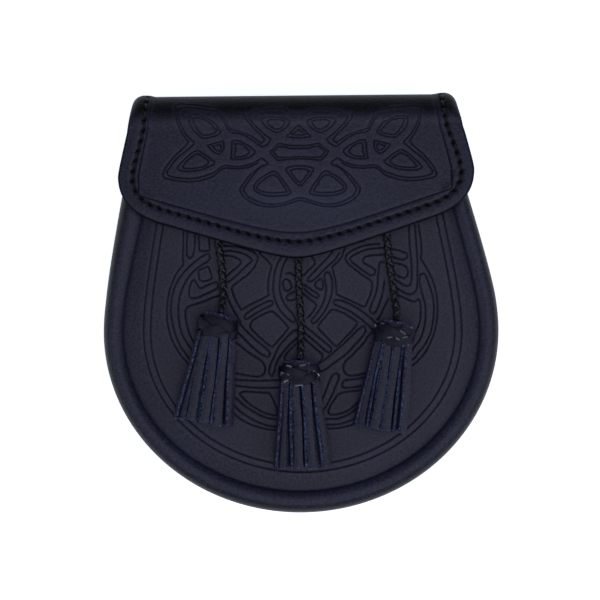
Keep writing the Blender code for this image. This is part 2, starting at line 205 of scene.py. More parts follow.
def dressed_leather(name, hide_colour, rough):
    """Dyed, plated and waxed cowhide."""
    finish, shader, place = new_finish(name)
    cells = add_node(finish, "ShaderNodeTexVoronoi", {"feature": "SMOOTH_F1"},
                     {"Vector": place, "Scale": per_metre(GRAIN_CELL), "Smoothness": 0.4})
    pores = add_node(finish, "ShaderNodeTexNoise", None,
                     {"Vector": place, "Scale": per_metre(PORE_SIZE), "Detail": 2.0})
    patches = add_node(finish, "ShaderNodeTexNoise", None,
                       {"Vector": place, "Scale": per_metre(PATCH_SIZE), "Detail": 3.0})
    scorch_and_shade = add_node(finish, "ShaderNodeAttribute", {"attribute_name": "scorch_and_shade"}).outputs["Fac"]
    wear_and_sheen = add_node(finish, "ShaderNodeAttribute", {"attribute_name": "wear_and_sheen"}).outputs["Fac"]

    dye = add_node(finish, "ShaderNodeMapRange", None,
                   {"Value": patches.outputs["Fac"], "From Min": 0.3, "From Max": 0.7,
                    "To Min": 0.82, "To Max": 1.18})
    pore_shade = add_node(finish, "ShaderNodeMapRange", None,
                          {"Value": pores.outputs["Fac"], "From Min": 0.35, "From Max": 0.65,
                           "To Min": 0.78, "To Max": 1.22})
    shade = add_node(finish, "ShaderNodeMath", {"operation": "MULTIPLY"},
                     {0: dye.outputs["Result"], 1: pore_shade.outputs["Result"]})
    dyed = add_node(finish, "ShaderNodeVectorMath", {"operation": "SCALE"},
                    {0: linear(hide_colour)[:3], "Scale": shade.outputs["Value"]})
    # Scorched lines take this dark colour, and so does painted shade: in the slits, over the fold
    # and on the rim's outer side.
    scorched_and_shaded = add_node(finish, "ShaderNodeMix", {"data_type": "RGBA"},
                     {FACTOR: scorch_and_shade, FIRST: dyed.outputs["Vector"], SECOND: linear(SCORCH_AND_SHADE_COLOUR)})
    # Worn ridges and edges turn greyer, and a painted highlight on the flap's middle takes the same
    # colour.
    worn_and_sheened = add_node(finish, "ShaderNodeMix", {"data_type": "RGBA"},
                      {FACTOR: wear_and_sheen, FIRST: scorched_and_shaded.outputs[MIXED], SECOND: linear(WEAR_AND_SHEEN_COLOUR)})
    shine = add_node(finish, "ShaderNodeMapRange", None,
                     {"Value": pores.outputs["Fac"], "From Min": 0.3, "From Max": 0.7,
                      "To Min": rough - 0.07, "To Max": rough + 0.07})
    relief = add_node(finish, "ShaderNodeMath", {"operation": "MULTIPLY_ADD"},
                      {0: cells.outputs["Distance"], 1: -1.0, 2: pores.outputs["Fac"]})
    grain = add_node(finish, "ShaderNodeBump", None,
                     {"Height": relief.outputs["Value"], "Strength": 0.8,
                      "Distance": GRAIN_DEPTH * MM})
    dull = add_node(finish, "ShaderNodeMapRange", {"clamp": False},
                    {"Value": scorch_and_shade, "To Min": 0.5, "To Max": 0.2})
    glints = add_node(finish, "ShaderNodeMath", {"operation": "MULTIPLY"},
                      {0: dull.outputs["Result"], 1: pore_shade.outputs["Result"]})
    feed(finish, shader, {"Base Color": worn_and_sheened.outputs[MIXED],
                          "Roughness": shine.outputs["Result"],
                          "Specular IOR Level": glints.outputs["Value"],
                          "Normal": grain.outputs["Normal"]})
    return finish


# %% [markdown]
# ## Four hides
# The parts are cut from different places of the hide, which take dye and wax differently. The
# back was waxed but never plated, so it is duller. The rim's copy is a little lighter: painted
# light, for the light that falls on the rolled rim. One function with three settings is enough
# for all of them.

# %% Hides
front_hide = dressed_leather("plated_black_cowhide_front", "#212134", 0.50)
# The rim's copy is lighter: painted light on the rolled rim.
lit_rim_hide = dressed_leather("plated_black_cowhide_rim_lit", "#25263b", 0.48)
flap_hide = dressed_leather("plated_black_cowhide_flap", "#212135", 0.48)
back_hide = dressed_leather("plain_black_cowhide", "#1c1c30", 0.55)
print("hides:", ", ".join(hide.name for hide in (front_hide, lit_rim_hide, flap_hide, back_hide)))

# %% [markdown]
# ## Cut edges
# Where the hide is cut, its inside shows. On the flap and panels the maker paints and rubs the
# cut edge until it shines. On the tassel strips it is left as it is: a velvety blue suede, dyed
# with the rest but never blackened. Its nap could be grown as hair, but it is far shorter than
# what shows at this size, so noise colours it. Velvet shines at its outline, which is what Sheen
# is for.

# %% Edge and suede materials
def painted_edge():
    """A cut edge with black edge paint, burnished smooth."""
    finish, shader, place = new_finish("painted_leather_edge")
    lumps = add_node(finish, "ShaderNodeTexNoise", None,
                     {"Vector": place, "Scale": per_metre(2.5), "Detail": 3.0})
    paint = add_node(finish, "ShaderNodeMix", {"data_type": "RGBA"},
                     {FACTOR: lumps.outputs["Fac"], FIRST: linear("#0c0c14"),
                      SECOND: linear("#191924")})
    bump = add_node(finish, "ShaderNodeBump", None,
                    {"Height": lumps.outputs["Fac"], "Strength": 0.4, "Distance": 0.1 * MM})
    feed(finish, shader, {"Base Color": paint.outputs[MIXED], "Roughness": 0.38,
                          "Normal": bump.outputs["Normal"]})
    return finish


def blue_suede():
    """The cut side of the tassel leather: short nap, blue where it stands up."""
    finish, shader, place = new_finish("cut_blue_suede")
    nap = add_node(finish, "ShaderNodeTexNoise", None,
                   {"Vector": place, "Scale": per_metre(0.8), "Detail": 3.0, "Roughness": 0.7})
    tone = add_node(finish, "ShaderNodeMapRange", None,
                    {"Value": nap.outputs["Fac"], "From Min": 0.45, "From Max": 0.75})
    dye = add_node(finish, "ShaderNodeMix", {"data_type": "RGBA"},
                   {FACTOR: tone.outputs["Result"], FIRST: linear("#070a22"),
                    SECOND: linear("#7480ae")})
    bump = add_node(finish, "ShaderNodeBump", None,
                    {"Height": nap.outputs["Fac"], "Strength": 0.8, "Distance": 0.15 * MM})
    feed(finish, shader, {"Base Color": dye.outputs[MIXED], "Roughness": 0.92,
                          "Normal": bump.outputs["Normal"], "Sheen Weight": 0.15,
                          "Sheen Roughness": 0.4, "Sheen Tint": linear("#6f7fc0")})
    return finish


edge_paint = painted_edge()
suede = blue_suede()
print("cut edges:", edge_paint.name, "and", suede.name)

# %% [markdown]
# ## Lace
# Lace is leather cut into a long thin strip. For the cords it is dyed and waxed black, and it
# takes a brighter shine than the panels, because it is pulled tight round a curve. For the rings
# it is wider and duller, and its edges stay pale where the dye didn't reach. The pale edge could
# be a second material on some faces. A mark on the points, "raw", fades more softly.

# %% Lace materials
def waxed_lace(name, colour, raw_colour, rough, glint):
    """Narrow strips of dyed, waxed calfskin with pale cut edges."""
    finish, shader, place = new_finish(name)
    fibre = add_node(finish, "ShaderNodeTexNoise", None,
                     {"Vector": place, "Scale": per_metre(0.9), "Detail": 4.0})
    raw = add_node(finish, "ShaderNodeAttribute", {"attribute_name": "raw"}).outputs["Fac"]
    dye = add_node(finish, "ShaderNodeMix", {"data_type": "RGBA"},
                   {FACTOR: fibre.outputs["Fac"], FIRST: linear("#07070e"),
                    SECOND: linear(colour)})
    cut = add_node(finish, "ShaderNodeMix", {"data_type": "RGBA"},
                   {FACTOR: raw, FIRST: dye.outputs[MIXED], SECOND: linear(raw_colour)})
    bump = add_node(finish, "ShaderNodeBump", None,
                    {"Height": fibre.outputs["Fac"], "Strength": 0.5, "Distance": 0.08 * MM})
    feed(finish, shader, {"Base Color": cut.outputs[MIXED], "Roughness": rough,
                          "Specular IOR Level": glint, "Normal": bump.outputs["Normal"]})
    return finish


cord_lace = waxed_lace("waxed_calf_lace_cord", "#0d0d18", "#7c7c88", 0.34, 0.5)
ring_lace = waxed_lace("waxed_calf_lace_ring", "#13162e", "#ececf0", 0.50, 0.35)
print("lace:", cord_lace.name, "and", ring_lace.name)

# %% [markdown]
# ## Making a piece
# Every piece below is points and faces worked out in millimetres. One function makes the mesh,
# links it, lets it ride on the imported body and hides the imported nodes it stands for. Modelling
# by hand in edit mode would do as well, but numbers are easier to correct.

# %% Making a piece
def add_piece(name, points, faces, finishes, stands_for=(), marks=None, kinds=None):
    """Link a mesh given in millimetres as a piece of the pouch."""
    mesh = bpy.data.meshes.new(name)
    mesh.from_pydata((np.asarray(points, float) * MM).tolist(), [], faces)
    for mark, values in (marks or {}).items():
        layer = mesh.attributes.new(mark, "FLOAT", "POINT")
        layer.data.foreach_set("value", np.asarray(values, np.float32))
    for finish in finishes:
        mesh.materials.append(finish)
    if kinds is not None:
        mesh.polygons.foreach_set("material_index", np.asarray(kinds, np.int32))
    mesh.shade_smooth()
    piece = bpy.data.objects.new(name, mesh)
    bpy.context.scene.collection.objects.link(piece)
    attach(piece, "root")
    if stands_for:
        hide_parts(*stands_for)
    print(f"{name}: {len(mesh.polygons)} faces")
    return piece


# %% [markdown]
# ## Outer faces and walls
# A face has an outer side, and light and thickness depend on it. Closed pieces have their faces
# turned outwards by a standard tool. Panels are made as bare sheets, and a Solidify modifier
# gives them the leather's thickness, with edge paint as the second material on the cut edge.

# %% Outer faces and walls
def turn_outwards(piece):
    """Point every face of a closed mesh outwards."""
    build = bmesh.new()
    build.from_mesh(piece.data)
    bmesh.ops.recalc_face_normals(build, faces=build.faces)
    build.to_mesh(piece.data)
    build.free()


def add_wall(piece, thickness):
    """Give an open sheet its thickness, below its outer face, and its painted edge."""
    wall = piece.modifiers.new("Wall", "SOLIDIFY")
    wall.thickness = thickness * MM
    wall.offset = -1.0
    wall.use_even_offset = False
    wall.material_offset_rim = 1


# %% [markdown]
# ## Sweeping a section
# Lace, thread and strips are all one section carried along a line. Blender's curves can do that
# with a bevel object, but they twist in their own way. Here each station gets its own across and
# up direction, so that a lace lies as its maker would lay it.

# %% Sweeping
def sweep(centres, across, up, section, loop=False):
    """Carry a closed section, in multiples of across and up, along a line of centres."""
    centres, across, up = (np.asarray(v, float) for v in (centres, across, up))
    section = np.asarray(section, float)
    points = (centres[:, None] + section[..., 0:1] * across[:, None]
              + section[..., 1:2] * up[:, None])
    stations, sides = points.shape[:2]
    faces = []
    for i in range(stations if loop else stations - 1):
        a, b = i * sides, (i + 1) % stations * sides
        for j in range(sides):
            k = (j + 1) % sides
            faces.append((a + j, a + k, b + k, b + j))
    if not loop:
        faces.append(tuple(range(sides))[::-1])
        faces.append(tuple(range((stations - 1) * sides, stations * sides)))
    return points.reshape(-1, 3), faces


def gather(shapes):
    """Join several (points, faces) into one."""
    points, faces, start = [], [], 0
    for shape_points, shape_faces in shapes:
        points.append(shape_points)
        faces += [tuple(start + corner for corner in face) for face in shape_faces]
        start += len(shape_points)
    return np.vstack(points), faces


# %% [markdown]
# ## Smooth lines
# A few points are enough to draw a line if a smooth curve runs through all of them, as a
# Catmull-Rom spline does. The points are then spaced evenly along it.

# %% Smooth lines
SPLINE_STEPS = 12          # fine points from each point of a curve to the next


def spline(points, spacing, before=None, after=None):
    """Evenly spaced points on a smooth curve through the given ones."""
    points = np.asarray(points, float)
    before = 2 * points[0] - points[1] if before is None else np.asarray(before, float)
    after = 2 * points[-1] - points[-2] if after is None else np.asarray(after, float)
    ends = np.vstack([before, points, after])
    t = np.linspace(0.0, 1.0, SPLINE_STEPS, endpoint=False)[:, None]
    fine = [0.5 * (2 * b + (c - a) * t + (2 * a - 5 * b + 4 * c - d) * t ** 2
                   + (3 * b - a - 3 * c + d) * t ** 3)
            for a, b, c, d in zip(ends, ends[1:], ends[2:], ends[3:])]
    fine = np.vstack(fine + [points[-1:]])
    return evenly(fine, spacing)


def evenly(line, spacing):
    """The same line with its points evenly spaced."""
    line = np.asarray(line, float)
    travelled = np.concatenate([[0.0], np.cumsum(np.linalg.norm(np.diff(line, axis=0), axis=1))])
    stops = np.linspace(0.0, travelled[-1], max(round(travelled[-1] / spacing), 1) + 1)
    return np.stack([np.interp(stops, travelled, column) for column in line.T], axis=1)


def unit(vectors):
    """Vectors of length 1 in the same directions."""
    return vectors / np.linalg.norm(vectors, axis=-1, keepdims=True)


def smooth_step(value):
    """Ease from 0 to 1 as the value goes from 0 to 1."""
    value = np.clip(value, 0.0, 1.0)
    return value * value * (3.0 - 2.0 * value)


# %% [markdown]
# ## Cords
# Each tassel hangs from a 3 mm cord that comes out of a slit under the flap, lies on the front and
# climbs into its ring. The chart gives the top of every ring, how many degrees it leans, and the
# route of its cord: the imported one, point for point. A simulated rope would find its own way,
# and wouldn't lie where this one does.

# %% Tassels: places and routes
TASSELS = {
    "left": {
        "ring_x": -36.0, "ring_y": -5.0, "lean": 10.5,
        "route": [(-37.6, 44.4, 29.4), (-37.4, 42.2, 31.6), (-37.2, 40.0, 33.7),
                  (-37.0, 37.4, 35.3), (-36.7, 34.4, 35.9), (-36.2, 30.0, 35.9),
                  (-35.5, 24.5, 35.9), (-34.8, 19.0, 35.9), (-34.4, 13.5, 35.9),
                  (-34.2, 8.5, 36.1), (-34.3, 4.0, 37.1), (-34.8, -0.3, 38.8),
                  (-35.3, -3.7, 40.3)],
    },
    "centre": {
        "ring_x": -1.0, "ring_y": -26.9, "lean": -0.5,
        "route": [(0.0, 36.4, 29.4), (0.0, 34.2, 31.6), (0.0, 32.0, 33.7), (0.0, 29.4, 35.3),
                  (0.0, 26.4, 35.9), (-0.1, 22.0, 35.9), (-0.1, 16.5, 35.9), (-0.1, 10.5, 35.9),
                  (0.0, 4.5, 35.9), (0.2, -1.5, 35.9), (0.4, -7.5, 35.9), (0.3, -13.5, 36.2),
                  (0.1, -18.5, 37.3), (-0.1, -22.5, 38.9), (-0.5, -25.9, 40.3)],
    },
    "right": {
        "ring_x": 43.0, "ring_y": -10.5, "lean": 9.9,
        "route": [(40.0, 45.4, 29.4), (40.1, 43.2, 31.6), (40.1, 41.0, 33.7), (40.2, 38.4, 35.3),
                  (40.2, 35.4, 35.9), (40.3, 31.0, 35.9), (40.4, 25.5, 35.9), (40.7, 19.5, 35.9),
                  (41.5, 13.0, 35.9), (42.3, 6.5, 36.0), (43.0, 0.5, 36.8), (43.5, -5.0, 38.7),
                  (43.7, -9.5, 40.3)],
    },
}
print("tassels:", ", ".join(TASSELS))

# %% [markdown]
# ## Braiding
# The cord is a round braid of four laces, two winding to the right and two to the left. Two laces
# that wind opposite ways meet every quarter of a turn, and each goes over and under in turn. So a
# cosine of twice the winding angle lifts one while it lowers the other. A braid drawn in the
# material of a plain rod would be simpler, but its outline would be smooth.

# %% Braiding
BRAID_PITCH = 8.0          # length in which a lace winds once round the cord
LACE_HALF_WIDTH = 1.1
LACE_HALF_THICKNESS = 0.36
BRAID_RADIUS = 1.12
BRAID_LIFT = 0.27
BRAID_STEP = 0.4           # of the points along a cord
# A flat strip with rounded edges, bent a little round the cord, and which of its corners are raw.
LACE_SECTION = [(-0.95, -0.5), (-0.95, 0.1), (-0.6, 0.8), (0.0, 1.1), (0.6, 0.8), (0.95, 0.1),
                (0.95, -0.5), (0.6, -0.9), (0.0, -0.7), (-0.6, -0.9)]
LACE_RAW = [1, 1, 0, 0, 0, 1, 1, 0, 0, 0]


def braid(route):
    """Four laces braided along a route, as points, faces and where their edges are raw."""
    line = spline(route, BRAID_STEP)
    along = unit(np.gradient(line, axis=0))
    side = unit(np.array([1.0, 0.0, 0.0]) - along * along[:, :1])
    up = np.cross(side, along)
    wind = 2.0 * math.pi * np.arange(len(line)) * BRAID_STEP / BRAID_PITCH
    section = np.array(LACE_SECTION) * (LACE_HALF_WIDTH, LACE_HALF_THICKNESS)
    laces, raw = [], []
    for direction, start in ((1, 0.0), (1, math.pi), (-1, 0.0), (-1, math.pi)):
        angle = direction * wind + start
        out = np.cos(angle)[:, None] * side + np.sin(angle)[:, None] * up
        radius = BRAID_RADIUS + direction * BRAID_LIFT * np.cos(2.0 * wind)
        centres = line + radius[:, None] * out
        run = unit(np.gradient(centres, axis=0))
        across = unit(np.cross(run, out))
        laces.append(sweep(centres, across, np.cross(across, run), section))
        # The edges are worn pale in short stretches, and never quite through the dye.
        worn = 0.5 * (0.5 + 0.5 * np.sin(0.9 * np.arange(len(line)) + 2.0 * start)) ** 4
        raw.append(np.outer(worn, LACE_RAW).ravel())
    points, faces = gather(laces)
    return line, points, faces, np.concatenate(raw)


# %% [markdown]
# ## Three cords
# Each route gets its braid.

# %% Cords
for side, tassel in TASSELS.items():
    line, points, faces, raw = braid(tassel["route"])
    cord = add_piece(f"braided_cord_{side}", points, faces, [cord_lace],
                     [f"cord_{side}"], {"raw": raw})
    turn_outwards(cord)

# %% [markdown]
# ## Down a tassel
# Every tassel leans its own way. So its ring, head and strips are all laid out along the tassel
# and across it, from a point at the top of the ring, and turned into place once. The bunch isn't
# round: lying down has pressed it to a full oval.

# %% Axes and ovals
UP = np.array([0.0, 0.0, 1.0])
RING_LENGTH = 10.8
RING_CENTRE_Z = 40.95


def tassel_axes(tassel):
    """Start, direction down the tassel and direction across it."""
    lean = math.radians(tassel["lean"])
    start = np.array([tassel["ring_x"], tassel["ring_y"], RING_CENTRE_Z])
    along = np.array([-math.sin(lean), -math.cos(lean), 0.0])
    across = np.array([math.cos(lean), -math.sin(lean), 0.0])
    return start, along, across


def full_oval(angle, half_width, half_depth, fullness=0.8):
    """A point of an oval that is a little fuller than an ellipse."""
    cosine, sine = np.cos(angle), np.sin(angle)
    wide = np.copysign(np.abs(cosine) ** fullness, cosine) * half_width
    deep = np.copysign(np.abs(sine) ** fullness, sine) * half_depth
    return wide, deep


# %% [markdown]
# ## Woven rings
# A ring of black lace holds each tassel together. It is a Turk's head of three leads and four
# bights: one lace that runs three times round and swings to and fro between the ring's two
# edges. Its place along the ring is a sine of 4/3 of the angle, and its height above the core
# is a sine of twice that, which takes it over and under itself in turn. Drawing each crossing
# by hand would take longer, and the weave would never close so evenly.

# %% Rings
RING_MIDDLE = 5.9          # how far down the tassel the ring's middle is
RING_SWING = 2.8           # how far the lace swings to either side of it
RING_HALF_WIDTH = 9.6
RING_HALF_DEPTH = 6.6
RING_LACE = 4.2            # width of the lace
RING_LACE_THICKNESS = 1.1
RING_LIFT = 0.5
RING_SHOULDER = 0.7        # the ring is a barrel, drawn in at both ends
RING_FULLNESS = 0.9        # 1 would be an ellipse
RING_STATIONS = 360
RING_SECTION = [(-1.0, -0.7), (-1.0, 0.5), (-0.93, 0.8), (-0.6, 1.0), (0.0, 1.1), (0.6, 1.0),
                (0.93, 0.8), (1.0, 0.5), (1.0, -0.7), (0.6, -1.0), (-0.6, -1.0)]
RING_RAW = [1, 1, 0.25, 0, 0, 0, 0.25, 1, 1, 0, 0]     # how raw each corner of the section is
RING_TURNS = {"left": 0.2, "centre": 1.3, "right": 3.6}    # where each lace starts, in radians
RING_FLECKS = {"left": 0.03, "centre": 1.0, "right": 0.7}  # how pale its cut edges are
LEADS = 3
BIGHTS = 4


def woven_ring(side, tassel):
    """The Turk's head that binds one tassel."""
    start, along, across = tassel_axes(tassel)
    turn = RING_TURNS[side]
    angle = np.linspace(0.0, 2.0 * math.pi * LEADS, RING_STATIONS, endpoint=False)
    swing = BIGHTS / LEADS * angle + turn
    sunk = RING_LACE_THICKNESS / 2.0 + RING_LIFT
    lift = RING_LIFT * np.sin(2.0 * swing)
    shoulder = RING_SHOULDER * np.sin(swing) ** 4
    half_width = RING_HALF_WIDTH - sunk + lift - shoulder
    half_depth = RING_HALF_DEPTH - sunk + lift - shoulder
    wide, deep = full_oval(angle, half_width, half_depth, RING_FULLNESS)
    distance = RING_MIDDLE + RING_SWING * np.sin(swing)
    centres = start + distance[:, None] * along + wide[:, None] * across + deep[:, None] * UP
    out = unit(np.cos(angle)[:, None] * across / RING_HALF_WIDTH
               + np.sin(angle)[:, None] * UP / RING_HALF_DEPTH)
    run = unit(np.roll(centres, -1, axis=0) - np.roll(centres, 1, axis=0))
    width = unit(np.cross(run, out))
    rise = np.cross(width, run)
    section = np.array(RING_SECTION) * (RING_LACE / 2.0, RING_LACE_THICKNESS / 2.0)
    points, faces = sweep(centres, width, rise, section, loop=True)
    # The edge is pale only in places, where the lace was cut after it was dyed.
    worn = RING_FLECKS[side] * smooth_step((np.sin(4.3 * swing + 2.0 * turn) - 0.45) / 0.3)
    ring = add_piece(f"woven_ring_{side}", points, faces, [ring_lace],
                     [f"tassel_ring_{side}"], {"raw": np.outer(worn, RING_RAW).ravel()})
    turn_outwards(ring)
    return ring


rings = {side: woven_ring(side, tassel) for side, tassel in TASSELS.items()}

# %% [markdown]
# ## Rolled heads
# The strips of a tassel are one piece of leather, cut like a comb and rolled up round the end of
# the cord. The uncut band of the comb sits inside the ring, and the edge of the roll stands a
# little out of its top, where the blue suede shows between black turns. A disc with a painted
# spiral would do from far away. Here the band itself is swept along the spiral.

# %% Rolled heads
HEAD_PROUD = 1.3           # how far the roll stands out of the ring
HEAD_LEATHER = 1.7
HEAD_SUNK = 0.8            # the ring starts so far down the tassel
HEAD_TURNS = 3.2
HEAD_HEART = (1.7, 1.2)    # half-width and half-depth of the roll at its heart
HEAD_GROWTH = (5.9, 3.6)   # and how much wider and deeper its last turn is
HEAD_DEPTH = 6.0           # how far the band reaches down inside the ring
HEAD_STATIONS = 150


def rolled_head(side, tassel):
    """The rolled band inside the ring."""
    start, along, across = tassel_axes(tassel)
    angle = np.linspace(0.0, 2.0 * math.pi * HEAD_TURNS, HEAD_STATIONS)
    half_sizes = (heart + growth * angle / angle[-1]
                  for heart, growth in zip(HEAD_HEART, HEAD_GROWTH))
    wide, deep = full_oval(angle, *half_sizes)
    centres = start + HEAD_SUNK * along + wide[:, None] * across + deep[:, None] * UP
    out = unit(np.cos(angle)[:, None] * across + np.sin(angle)[:, None] * UP)
    proud = HEAD_PROUD * (0.55 + 0.45 * np.cos(0.8 * angle + 0.5))
    half = HEAD_LEATHER * 0.4
    section = np.array([(-half, HEAD_DEPTH), (half, HEAD_DEPTH), (half, 0.7),
                        (half * 0.5, -0.3), (-half * 0.5, -0.3), (-half, 0.7)])
    section = np.repeat(section[None], HEAD_STATIONS, axis=0)
    section[:, 2:, 1] -= proud[:, None]
    points, faces = sweep(centres, out, np.repeat(along[None], HEAD_STATIONS, axis=0), section)
    # Of the six faces round the band, the three at its proud edge are suede, as are its ends.
    kinds = [0, 0, 1, 1, 1, 0] * (HEAD_STATIONS - 1) + [1, 1]
    head = add_piece(f"rolled_head_{side}", points, faces, [ring_lace, suede],
                     kinds=kinds)
    turn_outwards(head)
    return head


heads = {side: rolled_head(side, tassel) for side, tassel in TASSELS.items()}

# %% [markdown]
# ## Tassel strips
# The strips are 4 mm wide and 1 mm thick: black grain on one side, blue suede on the other side
# and on the cut edges. Some hang flat and some have turned on edge, and those show as the bright
# blue lines between the black faces. They could be dropped by a cloth simulation, but they would
# come to rest anywhere. Each strip in front is a row of the chart: where it leaves the ring and
# where it ends, in mm from the tassel's middle, and how far it is turned. The strips behind
# follow a rule, because only their ends show.

# %% Strip charts
# For each strip in front: top, hem, turn at the top, turn at the hem, height below the front.
FRONT_STRIPS = {
    "left": [(-7.6, -12.2, 70, 74, 1.2), (-6.0, -9.8, 24, 26, 0.9), (-3.8, -5.6, 4, 2, 0.1),
             (-1.9, -2.3, 76, 82, 1.8), (-0.2, 0.9, 2, -2, 0.0), (1.9, 3.9, 76, 82, 1.6),
             (3.7, 6.9, -4, -8, 0.1), (5.9, 10.2, 70, 74, 0.9), (7.2, 12.0, -34, -38, 2.0)],
    "centre": [(-8.0, -12.0, 70, 74, 1.2), (-6.4, -9.0, 16, 18, 0.6), (-4.2, -5.2, 72, 78, 0.5),
               (-3.2, -4.0, 80, 84, 2.0), (-1.7, -1.5, 2, 0, 0.0), (0.7, 1.7, 76, 80, 1.5),
               (2.9, 4.7, 0, 4, 0.1), (5.6, 8.5, 70, 74, 0.6), (7.2, 11.2, -26, -30, 1.4)],
    "right": [(-8.0, -11.4, 75, 80, 2.8), (-6.6, -9.2, 22, 26, 1.1), (-4.9, -6.9, 70, 74, 0.4),
              (-3.7, -5.2, 78, 84, 2.0), (-1.9, -2.5, 2, 0, 0.0), (-0.1, 0.0, 78, 84, 2.0),
              (1.9, 2.5, -2, 2, 0.1), (4.0, 5.4, 70, 80, 1.5), (5.6, 8.0, 70, 76, 0.5),
              (7.0, 10.3, -26, -30, 1.2)],
}
SKIRT_LENGTHS = {"left": 38.3, "centre": 37.2, "right": 37.6}      # below the ring
BACK_ROWS = ((3.9, 6, 9.6), (1.9, 6, 10.4), (0.2, 5, 8.4))   # height, strips, reach at the hem
BACK_TOP_REACH = 6.2       # reach of the rows behind where they leave the ring
PANEL_REST_Z = 34.35       # what the tassels lie on
FRONT_Z = (RING_CENTRE_Z + 4.6, PANEL_REST_Z + 8.3)    # of the front strips, at ring and hem
BACK_Z = (RING_CENTRE_Z - 3.4, PANEL_REST_Z + 1.1)     # of the lowest row behind, the same
print("strips in front:", {side: len(chart) for side, chart in FRONT_STRIPS.items()})

# %% [markdown]
# ## One strip
# A strip drifts sideways and down from the ring to its hem, turns as it goes and waves a little,
# as leather does that was rolled up. Its section is flat, with the grain side's corners rounded.

# %% One strip
STRIP_HALF_WIDTH = 1.95
STRIP_HALF_THICKNESS = 0.5
STRIP_BEVEL = 0.25         # the corners of the grain side are a little rounded
STRIP_STEPS = 22
HEM_BEVEL = 0.6            # the knife leaves the hem slanting, so its suede shows
SKIRT_FROM = 8.5           # the strips start this far down, inside the ring


def strip(axes, length, top, hem, turn_top, turn_hem, top_z, hem_z, wave):
    """One strip of the skirt, as points and faces."""
    start, along, across = axes
    whole = length + RING_LENGTH - SKIRT_FROM
    share = np.append(np.linspace(0.0, 1.0 - HEM_BEVEL / whole, STRIP_STEPS), 1.0)
    distance = SKIRT_FROM + share * whole
    drift = top + (hem - top) * share ** 0.85 + 0.25 * np.sin(5.0 * share + wave)
    height = top_z + (hem_z - top_z) * smooth_step(share) + 0.3 * np.sin(4.0 * share + 2.0 * wave)
    centres = start + distance[:, None] * along + drift[:, None] * across
    centres[:, 2] = height
    turn = np.radians(turn_top + (turn_hem - turn_top) * share)
    run = unit(np.gradient(centres, axis=0))
    level = unit(across - run * (run @ across)[:, None])
    upright = np.cross(level, run) * np.sign(np.cross(level, run) @ UP)[:, None]
    width = np.cos(turn)[:, None] * level + np.sin(turn)[:, None] * upright
    face = np.cos(turn)[:, None] * upright - np.sin(turn)[:, None] * level
    w, t = STRIP_HALF_WIDTH, STRIP_HALF_THICKNESS
    section = [(-w, -t), (-w, 0.7 * t), (-w + STRIP_BEVEL, t), (w - STRIP_BEVEL, t),
               (w, 0.7 * t), (w, -t)]
    section = np.repeat(np.array(section)[None], len(share), axis=0)
    section[-1, 1:5, 1] = -0.7 * t     # the slanting hem
    # Each strip is cut a little narrower where it leaves the band.
    return sweep(centres, width * (0.78 + 0.22 * share)[:, None], face, section)


# %% [markdown]
# ## Skirts
# All strips of a tassel are one piece, since they are cut from one piece of leather. No two are
# quite the same length: sines of their number make them uneven, the same way on every run.

# %% Skirts
STRIP_SIDES = 6            # faces round a strip
GRAIN_SIDE = 2             # the one of them that is grain


def tassel_skirt(side, tassel):
    """All strips of one tassel as one piece."""
    axes = tassel_axes(tassel)
    length = SKIRT_LENGTHS[side]
    strips = []
    for i, (top, hem, turn_top, turn_hem, lower) in enumerate(FRONT_STRIPS[side]):
        trim = 0.5 * math.sin(2.1 * i + 1.0)
        strips.append(strip(axes, length + trim, top, hem, turn_top, turn_hem,
                            FRONT_Z[0] - lower, FRONT_Z[1] - lower, 1.3 * i))
    for row, (height, count, reach) in enumerate(BACK_ROWS):
        for i in range(count):
            place = -1.0 + 2.0 * (i + 0.5) / count
            trim = 0.8 * math.sin(3.7 * i + 1.9 * row) - 0.6
            turn = 24.0 * math.sin(2.3 * i + row)
            strips.append(strip(axes, length + trim, BACK_TOP_REACH * place, reach * place,
                                turn, 1.3 * turn, BACK_Z[0] + 1.2 * height,
                                BACK_Z[1] + height, 0.9 * i + row))
    points, faces = gather(strips)
    # The grain runs down to the hem. The last step, which is the hem's slant, and both ends of
    # the strip are suede.
    step_kinds = [0 if i == GRAIN_SIDE else 1 for i in range(STRIP_SIDES)]
    kinds = (step_kinds * (STRIP_STEPS - 1) + [1] * (STRIP_SIDES + 2)) * len(strips)
    skirt = add_piece(f"cut_skirt_{side}", points, faces, [front_hide, suede],
                      [f"tassel_skirt_{side}"], kinds=kinds)
    skirt.data.set_sharp_from_angle(angle=math.radians(35.0))
    turn_outwards(skirt)
    return skirt


skirts = {side: tassel_skirt(side, tassel) for side, tassel in TASSELS.items()}

# %% [markdown]

# %% [markdown]
# ## Pressed lines
# The knotwork is pressed into damp leather with a heated plate. Its lines run smoothly but for
# the corners where bands cross. So a drawn line is cut at its corners, and each part between two
# of them becomes a smooth curve.

# %% Drawn lines
LINE_SPACING = 0.8         # of the points along a line
CORNER = math.radians(40.0)        # a sharper turn than this is a corner


def pressed_line(points):
    """A drawn line made smooth but for its corners. Its ends meet if they are the same."""
    points = np.asarray(points, float)
    ends_meet = np.allclose(points[0], points[-1])
    run = unit(np.diff(points, axis=0))
    turns = [math.acos(max(-1.0, min(1.0, float(a @ b)))) for a, b in zip(run, run[1:])]
    stops = [0] + [i + 1 for i, turn in enumerate(turns) if turn > CORNER] + [len(points) - 1]
    seam_is_smooth = ends_meet and float(run[-1] @ run[0]) > math.cos(CORNER)
    line = []
    for start, end in zip(stops, stops[1:]):
        before = points[-2] if seam_is_smooth and start == 0 else None
        after = points[1] if seam_is_smooth and end == len(points) - 1 else None
        line.append(spline(points[start:end + 1], LINE_SPACING, before, after)[:-1])
    return np.vstack(line + [points[-1:]])


# %% [markdown]
# ## Distances
# How deep a point lies depends on how far it is from the nearest line. Comparing every point
# with every other would take minutes. A search tree finds the nearest one at once.

